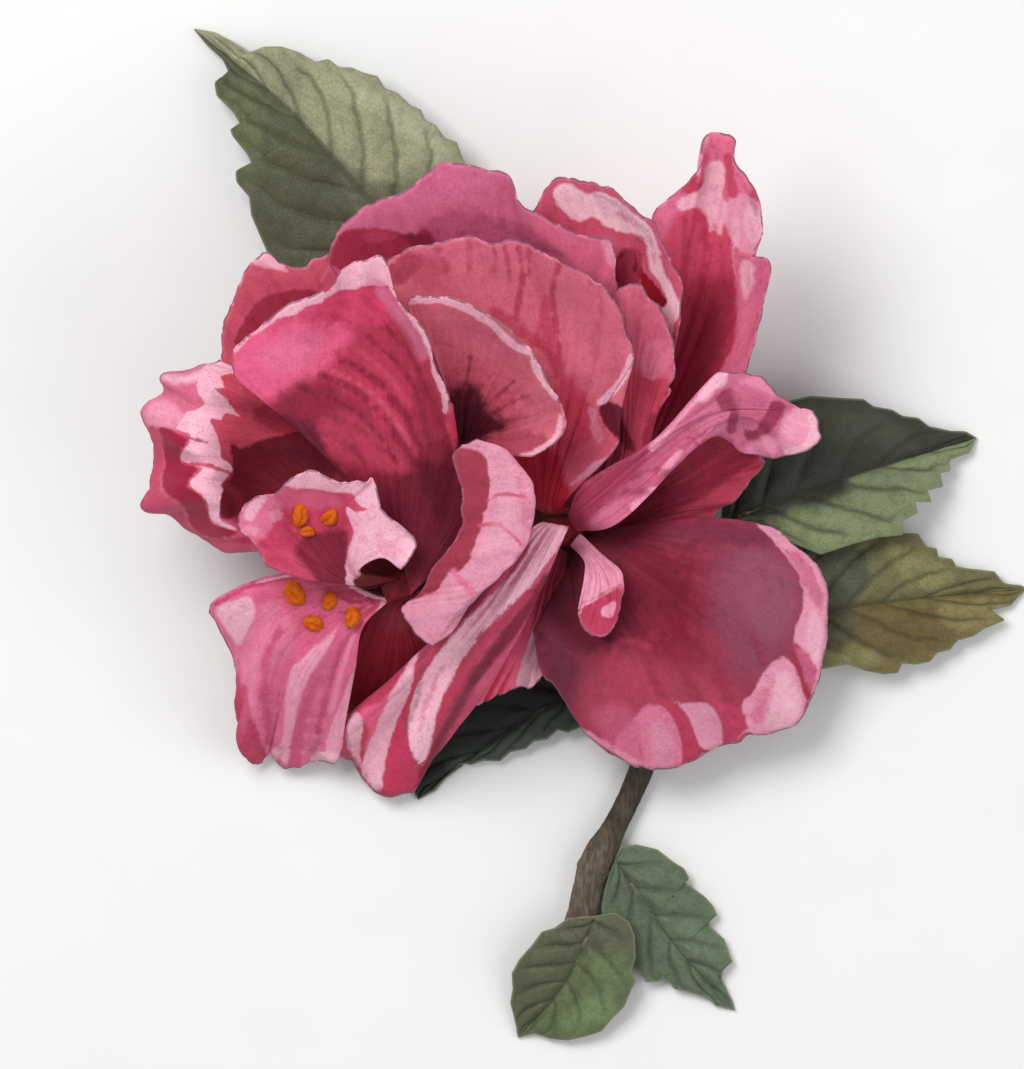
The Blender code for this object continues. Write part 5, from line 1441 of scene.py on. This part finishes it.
# The lip
# A long band that curls up round the throat. Its outer face is pale pink with a few fine cross lines,
# and its left-hand edge rolls in to a deeper rose.
open_petal(Petal(
    "petal_lip", "pink_petal", 0.50, (-14, 6, 44.5), 8,
    [(-24, -16, 44), (-20.5, -11.5, 48), (-16, -7.5, 50.5), (-11.5, -2, 52), (-10, 4.5, 52.5),
     (-10.5, 10.5, 52), (-14.5, 16, 50.5)],
    [(-28.6, -20.6, 41), (-32, -18.6, 40.2), (-34.6, -14, 40), (-33.6, -12.6, 40.4), (-30.6, -10, 42),
     (-28.6, -6, 43.6), (-25, -1.6, 46), (-23.4, 2, 47.4), (-23.2, 8, 48.6), (-24.8, 15.4, 49.5),
     (-20.5, 18.6, 49.5)],
    [(0, CARMINE), (0.3, PINK), (0.6, paint(212, 136, 158)), (1, paint(212, 136, 158))],
    [
        Mark(paint(210, 142, 162), 1.0, [(-20, 16), (-14, 15), (-11, 6), (-12, -2), (-18, -9), (-26, -16),
             (-32, -16), (-26, -10), (-19, -2), (-17, 6)]),
        Mark(paint(198, 118, 142), 0.6, [(-13, 12), (-10, 6), (-10.6, 0), (-14, -6), (-20, -11),
             (-25, -16), (-23, -16), (-16, -9), (-12.4, -3), (-12, 4)], strength=0.7),
        Mark(paint(150, 52, 70), 0.3, [(-25, 15), (-23.4, 16.9), (-20, 16), (-18.4, 14), (-18, 10),
             (-18, 7), (-19, 4), (-19.6, 1), (-20.6, -2), (-22, -5), (-24, -7), (-25.6, -7), (-27, -9),
             (-29, -11), (-33, -12.2), (-33, -11), (-30, -7), (-26, -1), (-24, 3), (-24, 8)]),
        Mark(paint(152, 52, 72), 0.8, [(-31.6, -11), (-29, -6.6), (-25.4, -1.4), (-23.6, 2), (-24.4, -3),
             (-28, -8.6)], strength=0.8),
        Mark(paint(196, 96, 120), 0.25, [(-18.4, 12.6), (-15.6, 13.4)], width=0.5, strength=0.8),
        Mark(paint(190, 82, 110), 0.2, [(-18.2, 6.8), (-15.4, 8), (-11, 7.4)], width=0.75, strength=0.9),
        Mark(paint(190, 82, 110), 0.2, [(-19.8, 2), (-16.6, 2.2), (-14, 0.6), (-12, -1.6)], width=0.7,
             strength=0.9),
        Mark(PINK, 0.4, [(-24.8, -6.8), (-23, -9), (-21, -10.8)], width=1.4, strength=0.9),
        Mark(paint(202, 134, 154), 0.5, [(-24, 17), (-20.6, 19), (-15.6, 15), (-13.6, 11.4), (-17, 13.6),
             (-20, 16.4)], strength=0.8),
        Mark(paint(222, 156, 174), 1.0, [(-17, 3), (-14, 5), (-15, -1), (-18, -4), (-20, -2)],
             strength=0.5),
        Mark(GRAPHITE, 0.3, [(-12, -3), (-15, -7.6), (-20, -11), (-24, -15), (-27, -19)], width=0.8,
             strength=0.35),
    ],
    frills=3, frill_depth=0.3,
))


# The pleated petal
# A strap that hangs down to the lower left in lengthwise pleats, pale on each ridge, where highlights are
# painted, and crimson between them, with its right-hand side in deep shade.
open_petal(Petal(
    "petal_pleated", "pink_petal", 0.36, (-7, 0.5, 40.5), 7,
    [(-13, -19, 32), (-16.5, -18.5, 36), (-21.5, -18, 36), (-26.5, -17.5, 33.5)],
    [(-24, -34, 14), (-27.4, -41, 8), (-31, -47.6, 5), (-34, -49, 3.6), (-38, -48.8, 3), (-42, -46.6, 3),
     (-45, -43, 5), (-47, -39.5, 8), (-45.4, -35.4, 12), (-42.5, -31, 15)],
    [(0, ROSE), (0.5, ROSE), (0.8, CARMINE), (1, CARMINE)],
    [
        Mark(paint(196, 74, 106), 0.8, [(-3, 2), (-7, -8), (-15, -18), (-23, -30), (-30, -46), (-26, -42),
             (-14, -22), (-6, -10)]),
        Mark(paint(126, 38, 60), 0.6, [(-7, -8), (-11, -14), (-17, -22), (-21, -27)], width=2.4,
             strength=0.9),
        Mark(paint(118, 34, 56), 0.7, [(-21, -27), (-25.6, -35), (-29, -42), (-32, -47)], width=1.8,
             strength=0.8),
        Mark(paint(214, 92, 122), 0.5, [(-8, -13), (-12, -19.6), (-17, -25.4), (-20, -29)], width=2.0,
             strength=0.8),
        Mark(paint(216, 98, 130), 0.5, [(-12, 2), (-12.6, -4), (-15.6, -8.6), (-19.6, -13), (-24, -17),
             (-29, -22), (-26, -19), (-20, -13.6), (-14, -7), (-11, -3)]),
        # Painted highlight along the upper ridge, with the next mark brightest at its top, where the lip
        # above shades it.
        Mark(paint(246, 188, 204), 0.3, [(-9.6, 2.8), (-6, 3.4), (-3.2, 1.6), (-4.6, -1.6), (-7, -5),
             (-9.4, -8.4), (-12.8, -12.2), (-16.4, -16), (-20, -19.6), (-23.4, -24), (-26, -29),
             (-28, -34), (-29.4, -40), (-30.6, -43.4), (-33, -41), (-33.2, -35), (-32, -29),
             (-29.4, -24.4), (-26, -20), (-22, -15.6), (-17.4, -11), (-13.4, -7), (-11, -3.6),
             (-9.6, -0.4)], strength=0.95),
        Mark(paint(255, 192, 210), 0.8, [(-9.4, 2.4), (-4, 2), (-5.4, -2), (-9, -7), (-13, -11.6),
             (-18, -16.6), (-19.4, -16.4), (-14.4, -9.6), (-10.6, -4)]),
        Mark(paint(186, 62, 94), 0.4, [(-10.6, -11), (-15.2, -15.4), (-19.4, -19.8)], width=1.8,
             strength=0.9),
        Mark(paint(226, 124, 152), 0.4, [(-7, 1.2), (-9.4, -3.4), (-13, -8.2), (-18, -13.2),
             (-23, -18.8)], width=0.8, strength=0.6),
        Mark(paint(214, 112, 142), 0.5, [(-27, -25), (-29.6, -31), (-31.2, -37)], width=1.0,
             strength=0.6),
        Mark(paint(192, 56, 90), 0.35, [(-30.4, -21.6), (-32, -26), (-33, -30), (-35, -35), (-36.4, -40),
             (-37.6, -44), (-38, -49), (-34, -49.6), (-32, -47), (-31.4, -45), (-32.6, -41), (-33.8, -37),
             (-33.4, -32), (-31.4, -26)]),
        Mark(paint(226, 94, 130), 0.4, [(-33, -26), (-38, -31), (-42.4, -33), (-41, -37), (-42, -40),
             (-40, -41), (-39, -38), (-37, -33), (-35, -29)]),
        Mark(BLUSH, 0.3, [(-31.4, -21.6), (-33.6, -25), (-37, -30.6), (-39.6, -36), (-41.4, -41),
             (-42, -46), (-38.6, -48.6), (-37.8, -44), (-36.8, -39), (-35, -34), (-33, -29), (-32, -25)],
             strength=0.95),
        Mark(BLUSH, 0.3, [(-43, -33.4), (-45, -36), (-44.8, -40), (-43, -44), (-42, -45), (-42.6, -40),
             (-42, -36)], strength=0.9),
        Mark(paint(196, 76, 108), 0.3, [(-46, -35), (-46.6, -39), (-44.6, -43.4), (-41.4, -46.8),
             (-38, -48.4)], width=1.0, strength=0.8),
        Mark(GRAPHITE, 0.3, [(-29.6, -20), (-31, -25), (-31.6, -31), (-33.6, -36), (-33.4, -40),
             (-31.6, -43)], width=0.95, strength=0.4),
        Mark(GRAPHITE, 0.3, [(-45, -35), (-44.8, -40), (-43, -43.6), (-41, -46)], width=0.9,
             strength=0.35),
    ],
    waves=2.5, wave_depth=1.2, frills=4,
))


# The tucked petal
# The end of a petal that hangs in the shade between the pleated strap and the lower right petal.
open_petal(Petal(
    "petal_tuck", "pink_petal", 0.05, (-7, -7, 21), 8,
    [(-4.5, -15, 20), (-10, -18.5, 20), (-15, -18, 19)],
    [(-7.5, -26, 17), (-9.6, -28.4, 16), (-13, -29, 15), (-17, -30.4, 14), (-20, -32, 13),
     (-25, -31, 13)],
    [(0, CRIMSON), (0.45, paint(206, 82, 110)), (1, paint(216, 100, 128))],
    [
        Mark(paint(240, 98, 130), 1.0, [(-15, -20), (-10, -15), (-9, -22), (-12, -28), (-19, -31)]),
        Mark(BLUSH, 0.4, [(-13, -28.4), (-11, -22), (-9.6, -17), (-8.4, -22), (-7, -26), (-9.6, -29.6)]),
    ],
))


# The dark wedge
# A petal seen only in its own shade, between the pleated strap and the lower left petal; its dark reds are
# painted shade.
open_petal(Petal(
    "petal_wedge", "crimson_petal", 0.80, (-35, -14, 28), 10,
    [(-28, -23, 21), (-37, -26, 17), (-46, -24, 18)],
    [(-30, -33, 10), (-38, -38, 4), (-45, -38, 3), (-50, -31, 7)],
    [(0, paint(88, 20, 32)), (0.4, paint(132, 26, 42)), (1, paint(146, 32, 50))],
    [
        Mark(paint(150, 36, 56), 1.2, [(-46, -34), (-41, -31), (-35, -25), (-37, -30), (-42, -36)],
             strength=0.9),
        Mark(paint(134, 52, 68), 1.0, [(-37, -13), (-35, -14), (-34, -17), (-37, -18), (-39, -16)],
             strength=0.6),
    ],
    edge=(WINE, 0.4, 0.4),
))


# The lower left petal
# A square-cut fan with pale stripes that spread from its claw, a notched lower margin and a bright
# upper edge.
lower_left = open_petal(Petal(
    "petal_lower_left", "pink_petal", 0.985, (-43.5, -12.5, 30.5), 10,
    [(-43.6, -25, 24), (-52, -26, 25), (-57, -22, 25.5), (-58, -14, 28), (-53, -6.5, 28.5)],
    [(-46.8, -40.6, 9), (-47.4, -43.4, 7), (-50.4, -42.6, 6), (-54.4, -44.2, 4), (-57.4, -43.6, 3.4),
     (-58.8, -40, 4), (-60.2, -43.6, 3.2), (-62.4, -43.4, 4), (-65, -40, 6.2), (-66, -35, 9),
     (-66.6, -27, 13), (-68.4, -20, 17), (-70.8, -13, 21), (-66, -10, 24), (-61, -7.8, 26)],
    [(0, CRIMSON), (0.25, ROSE), (0.5, paint(208, 92, 126)), (0.8, paint(212, 100, 134)), (1, PINK)],
    [
        Mark(paint(204, 90, 122), 1.2, [(-41, -12), (-52, -8), (-61, -10), (-58, -18), (-50, -20),
             (-44, -17)], strength=0.8),
        Mark(paint(222, 124, 152), 1.2, [(-66, -20), (-60, -12), (-55, -17), (-57, -23), (-62, -28),
             (-66, -27)], strength=0.7),
        Mark(BLUSH, 0.4, [(-70, -13.6), (-66, -12), (-63.4, -11.4), (-62.4, -14), (-63.4, -17),
             (-65.6, -20.6), (-67.6, -18)]),
        Mark(SHELL, 0.3, [(-46.4, -16.4), (-49, -19.4), (-52.4, -22), (-55.6, -26), (-56.6, -31),
             (-57, -37), (-57.8, -42), (-56, -43), (-55, -36), (-54, -31), (-52.4, -27), (-50, -23.4),
             (-48, -20)]),
        Mark(paint(200, 84, 118), 0.4, [(-56.4, -45), (-55.4, -38), (-54, -33), (-52, -29), (-50, -25.6),
             (-51, -31), (-53, -36), (-54, -44)]),
        Mark(paint(214, 106, 140), 0.6, [(-47, -21), (-50, -24), (-52, -32), (-51.4, -42), (-49, -40),
             (-47, -30)], strength=0.8),
        Mark(SHELL, 0.3, [(-38.6, -12.4), (-40.4, -17), (-42.4, -21), (-44, -26), (-46, -31), (-48, -36),
             (-49, -40), (-48.4, -43), (-45, -44), (-44.6, -38), (-44, -33), (-42.6, -28), (-41.4, -23),
             (-39.4, -18), (-37.6, -14)]),
        Mark(paint(182, 62, 92), 0.4, [(-67, -26), (-64, -29), (-62.6, -35), (-61, -40), (-60, -45),
             (-63, -45), (-66, -40)]),
        Mark(paint(208, 92, 126), 0.6, [(-65.6, -24), (-64.4, -30), (-64.4, -37)], width=1.0,
             strength=0.6),
        Mark(paint(198, 60, 104), 0.2, [(-70, -13), (-66, -10.8), (-60, -8.8), (-54, -8)], width=0.8,
             strength=0.8),
        Mark(BLUSH, 0.2, [(-62, -8.8), (-58, -8), (-54, -7.2)], width=0.5, strength=0.9),
        Mark(BLUSH, 0.3, [(-51.4, -41.4), (-48, -40.6), (-46, -42), (-45, -44.6), (-49, -44.6),
             (-51.6, -43.4)], strength=0.9),
        Mark(BLUSH, 0.3, [(-60, -44), (-59.4, -41), (-57.6, -39.6), (-57, -41), (-58.4, -42.4)],
             strength=0.7),
        Mark(GRAPHITE, 0.3, [(-58.6, -39.6), (-57.4, -40.6), (-57.8, -42.6), (-56.2, -44)], width=0.8,
             strength=0.35),
        Mark(GRAPHITE, 0.3, [(-50.4, -36.6), (-50.4, -39), (-52, -41), (-50, -42), (-46.6, -43)],
             width=0.8, strength=0.3),
        Mark(paint(186, 66, 100), 0.5, [(-57.6, -18), (-60.4, -24), (-60.8, -31), (-59.6, -39)],
             width=1.4, strength=0.55),
        Mark(paint(230, 134, 162), 0.6, [(-61, -20), (-63, -27), (-62.8, -34)], width=1.5, strength=0.5),
        Mark(paint(184, 68, 102), 0.4, [(-46.6, -22), (-48.6, -29), (-50.6, -37)], width=1.1,
             strength=0.6),
        Mark(paint(236, 152, 178), 0.5, [(-44, -19), (-46.2, -26), (-47.8, -33)], width=1.1,
             strength=0.5),
        Mark(paint(156, 44, 70), 0.3, [(-38, -11), (-43, -12.6), (-47, -11.2)], width=0.8, strength=0.8),
        Mark(paint(156, 44, 70), 0.3, [(-38.6, -11.8), (-43, -14), (-46.6, -14.6)], width=0.6,
             strength=0.7),
        Mark(paint(156, 44, 70), 0.3, [(-39, -12.6), (-42, -15), (-45, -18)], width=0.5, strength=0.6),
        Mark(paint(156, 44, 70), 1.0, [(-38, -9.6), (-44, -9.6), (-50, -10), (-46, -12), (-41, -12)],
             strength=0.7),
        # Painted shade: the throat seen above the claw is painted dark.
        Mark(paint(66, 18, 22), 0.25, [(-43.4, -8), (-41, -10.6), (-37, -11.8), (-33, -12.4), (-30, -10),
             (-33, -3), (-44, -3)]),
        Mark(BLUSH, 0.2, [(-44.4, -9.4), (-41.6, -10.9), (-38, -12), (-35, -12.6)], width=0.6,
             strength=0.8),
    ],
    waves=3.5, wave_depth=0.8, frills=6, frill_depth=0.6,
))


# The curl
# A small petaloid, a changed stamen, that curls over at the heart of the bloom and shows a rosy inside.
open_petal(Petal(
    "petaloid_curl", "pink_petal", 0.26, (1.5, -3.8, 34), 3.5,
    [(6.9, -6.6, 40), (4.4, -9.5, 38), (0, -8, 39.5)],
    [(7.6, -10.5, 40), (6.2, -16, 38.5), (4.6, -18.6, 37.8), (1.4, -19, 37.6), (-0.6, -16.6, 38),
     (-1, -13.6, 38.5)],
    [(0, SHELL), (0.5, SHELL), (1, SHELL)],
    [
        Mark(paint(182, 60, 88), 0.25, [(-0.6, -14), (2.4, -12), (5, -10.6), (8, -9.6), (7, -15),
             (4, -20), (0, -19.6)]),
        Mark(paint(150, 44, 70), 0.3, [(-1, -13.2), (2, -11.8), (4.6, -10.4), (7, -9.4)], width=0.4,
             strength=0.7),
        # A painted highlight inside the curl, and painted shade along its right-hand edge.
        Mark(SHELL, 0.25, [(3.4, -13.6), (6, -12.4), (5.6, -15), (3.6, -15.2)]),
        Mark(PINK, 0.4, [(7.2, -3), (7.6, -7), (7.2, -10)], width=0.7, strength=0.8),
    ],
    frills=2, frill_depth=0.2,
))


# The petaloid with anthers
# A broad petaloid over the throat, half stamen and half petal, with a turned-back pale flap on its right.
upper_petaloid = open_petal(Petal(
    "petaloid_anthers", "pink_petal", 0.955, (-44, -8, 39), 6,
    [(-54, -8, 41), (-57, -1, 42), (-53, 4, 43), (-47, 4, 43.5), (-42.5, 0, 46), (-38.5, -4, 46)],
    [(-60, -6, 44), (-63.6, -1, 45.4), (-65.6, 1.6, 46), (-65, 4.6, 46.6), (-62.4, 7.4, 47.4),
     (-59, 7.8, 48.4), (-57.4, 10.2, 49), (-55.2, 11, 49.4), (-52.4, 12.6, 50), (-49.6, 11, 50),
     (-46, 9.8, 50.2), (-42, 10.6, 51), (-40.2, 11, 51), (-38.8, 7, 50.2), (-38.4, 4.8, 50),
     (-35.6, 2.4, 49.4), (-31.8, -1.2, 48), (-32.8, -4, 47), (-34.6, -6.2, 46)],
    [(0, paint(112, 30, 50)), (0.35, CRIMSON), (0.7, paint(192, 68, 100)), (1, ROSE)],
    [
        Mark(paint(188, 62, 92), 1.2, [(-63, -2), (-60, 6), (-52, 9), (-45, 8), (-44, 2), (-50, -2),
             (-58, -6)]),
        Mark(paint(210, 96, 130), 1.2, [(-60, 6), (-55, 9), (-48, 8.6), (-46, 6), (-50, 5.4), (-56, 5.4)],
             strength=0.8),
        # Painted shade low on the petaloid, next to the throat.
        Mark(paint(126, 36, 56), 0.8, [(-53, 0), (-48, 1), (-45, 0.4), (-44.6, -8), (-46, -10), (-52, -8),
             (-55, -4)]),
        Mark(paint(150, 44, 68), 0.6, [(-57, 1.6), (-53, -2), (-49, -7)], width=1.2, strength=0.6),
        Mark(paint(204, 84, 114), 0.7, [(-61, -3), (-56, -4), (-52, -8)], width=1.4, strength=0.6),
        Mark(paint(212, 112, 140), 0.7, [(-66.4, -1), (-66, 5), (-61.4, 8.6), (-57.6, 6), (-59.4, 2),
             (-62.6, -1.6)]),
        Mark(BLUSH, 0.4, [(-64.6, 4), (-62.6, 7.2), (-60, 7.4), (-61.6, 5.4), (-63, 3)], strength=0.8),
        Mark(SHELL, 0.4, [(-65, 1.4), (-63.6, 2), (-61.6, 1.4), (-62.6, 0), (-64.6, 0)], strength=0.7),
        Mark(SHELL, 0.4, [(-60, 4.4), (-58, 5), (-57.4, 3.4), (-59, 2.8)], strength=0.5),
        Mark(BLUSH, 0.3, [(-58.6, 10), (-56, 11.8), (-52.4, 13.4), (-49, 12), (-46, 10.8), (-40, 12.4),
             (-37.6, 5.4), (-42, 5.6), (-44, 8), (-47, 8.4), (-50, 9), (-55, 9.4)]),
        Mark(BLUSH, 0.25, [(-45, 5.4), (-43, 4.6), (-38, 5.6), (-35, 3.4), (-31, -1), (-33, -7),
             (-38, -5.6), (-42, -6.4), (-43.2, -10.4), (-45.2, -9), (-44.8, -3), (-43.8, 1)]),
        Mark(PINK, 0.6, [(-43, -9), (-44.6, -4), (-43.6, 1)], width=0.6, strength=0.5),
        # Painted shade: the throat seen beside the claw is painted dark.
        Mark(paint(104, 30, 36), 0.3, [(-43, -7.4), (-33, -6.8), (-33, -12.6), (-42, -11)]),
        Mark(paint(214, 136, 160), 0.8, [(-40, 0), (-36, -1), (-34, -4), (-38, -4)], strength=0.5),
        Mark(GRAPHITE, 0.3, [(-38, 4.6), (-35, 2.2), (-32.4, -0.8)], width=0.8, strength=0.3),
    ],
    waves=3, wave_depth=0.4, frills=5, frill_depth=0.35,
))


# The anthers
# Orange-brown pollen sacs that sit straight on the petaloids, since their stalks have become petal. Each
# is a small bean with a furrow down its back, dusted with loose grains.
ANTHER_SIZE = (1.75, 1.25, 0.95)
ANTHER_LIFT = 0.35 * MM
GRAINS = 60


def anther_finish():
    finish = Finish("pollen", {"Roughness": 0.85, "Specular IOR Level": 0.2})
    spot = finish.spot()
    grains = finish.node("TexVoronoi", {"feature": "F1"}, {"Vector": spot, "Scale": 5.0})
    patches = finish.grain(spot, 1.1, 3.0)
    colour = finish.mix(finish.between(patches, 0.38, 0.62), paint(206, 84, 8), paint(224, 112, 12))
    colour = finish.mix(finish.between(grains, 0.1, 0.5, 0.3), colour, paint(150, 62, 10))
    return finish.finish_with(colour, 1 - grains, 0.15)


def lay_anthers(name, petal_piece, node, spots, material):
    """Each anther is set on the petal's surface right under its place, and turned another way."""
    surface = BVHTree.FromObject(petal_piece, bpy.context.evaluated_depsgraph_get())
    draw = random.Random(name)
    sacs = bmesh.new()
    for i, (x, y, scale) in enumerate(spots):
        place, normal, *_ = surface.ray_cast(Vector((x, y, 100)) * MM, Vector((0, 0, -1)))
        upright = normal.to_track_quat("Z", "Y").to_matrix().to_4x4()
        spin = Matrix.Rotation(math.radians(35 + 50 * i), 4, "Z")
        turn = Matrix.Translation(place + normal * ANTHER_LIFT) @ upright @ spin
        sac = bmesh.ops.create_icosphere(sacs, subdivisions=4, radius=1)["verts"]
        size = Vector(ANTHER_SIZE) * scale
        for vert in sac:
            furrow = 0.4 * math.exp(-((vert.co.y / 0.22) ** 2)) * max(vert.co.z, 0)
            rough = 1 + 0.06 * noise.noise(vert.co * 4 + Vector((i, 0, 0)))
            bend = 0.25 * vert.co.x ** 2
            shaped = Vector((vert.co.x, vert.co.y + bend, vert.co.z - furrow))
            vert.co = Vector(a * b for a, b in zip(shaped, size)) * rough * MM
        bmesh.ops.transform(sacs, matrix=turn, verts=sac)
        for _ in range(GRAINS):
            angle, reach = draw.uniform(0, 2 * math.pi), draw.gauss(0, 0.45)
            spread = Vector((math.cos(angle) * size.x, math.sin(angle) * size.y, 0))
            spread *= (0.9 + abs(reach)) * MM
            above = place + turn.to_3x3() @ spread + Vector((0, 0, 5 * MM))
            landed, _, _, _ = surface.ray_cast(above, Vector((0, 0, -1)))
            if landed:
                bmesh.ops.create_icosphere(sacs, subdivisions=1, radius=draw.uniform(0.05, 0.11) * MM,
                                           matrix=Matrix.Translation(landed))
    declare(add_piece(name, sacs, [material]), node)


pollen = anther_finish()
lay_anthers("anthers_upper", upper_petaloid, "petaloid_anthers", [(-54, 4.1, 1.3), (-48.1, 3.6, 1.15),
     (-52.6, 1, 0.85)], pollen)
lay_anthers("anthers_lower", lower_left, "petal_lower_left",
            [(-55, -10.9, 1.5), (-48.3, -12.4, 1.05), (-51.3, -16.4, 1.25), (-43.8, -15.4, 1.2)], pollen)


# The table and the light
# A plain pale table top, a large soft lamp up on the left and a weaker one on the right, in a pale room.
TABLE_REACH = 1.5
TABLE_GAP = 0.2 * MM


def table_finish():
    finish = Finish("table", {"Roughness": 0.9, "Specular IOR Level": 0.1})
    speck = finish.grain(finish.spot(), 0.05, 4.0)
    colour = finish.mix(speck, (0.78, 0.775, 0.76, 1), (0.82, 0.815, 0.80, 1))
    return finish.finish_with(colour, speck, 0.02)


def add_lamp(name, place, energy, size):
    lamp = bpy.data.lights.new(name, "AREA")
    lamp.energy = energy
    lamp.size = size
    holder = bpy.data.objects.new(name, lamp)
    holder.location = place
    holder.rotation_euler = (-Vector(place)).to_track_quat("-Z", "Y").to_euler()
    bpy.context.scene.collection.objects.link(holder)


table_mesh = bmesh.new()
bmesh.ops.create_grid(table_mesh, x_segments=1, y_segments=1, size=TABLE_REACH)
bmesh.ops.translate(table_mesh, verts=table_mesh.verts, vec=(0, 0, -TABLE_GAP))
table = add_piece("table", table_mesh, [table_finish()])
add_lamp("key lamp", (-0.35, 0.35, 0.75), 5.8, 0.45)
add_lamp("fill lamp", (0.6, -0.2, 0.5), 2.0, 0.6)

room = bpy.data.worlds.new("room")
room.use_nodes = True
room.node_tree.nodes["Background"].inputs["Color"].default_value = (0.95, 0.97, 1.0, 1)
room.node_tree.nodes["Background"].inputs["Strength"].default_value = 0.5
bpy.context.scene.world = room
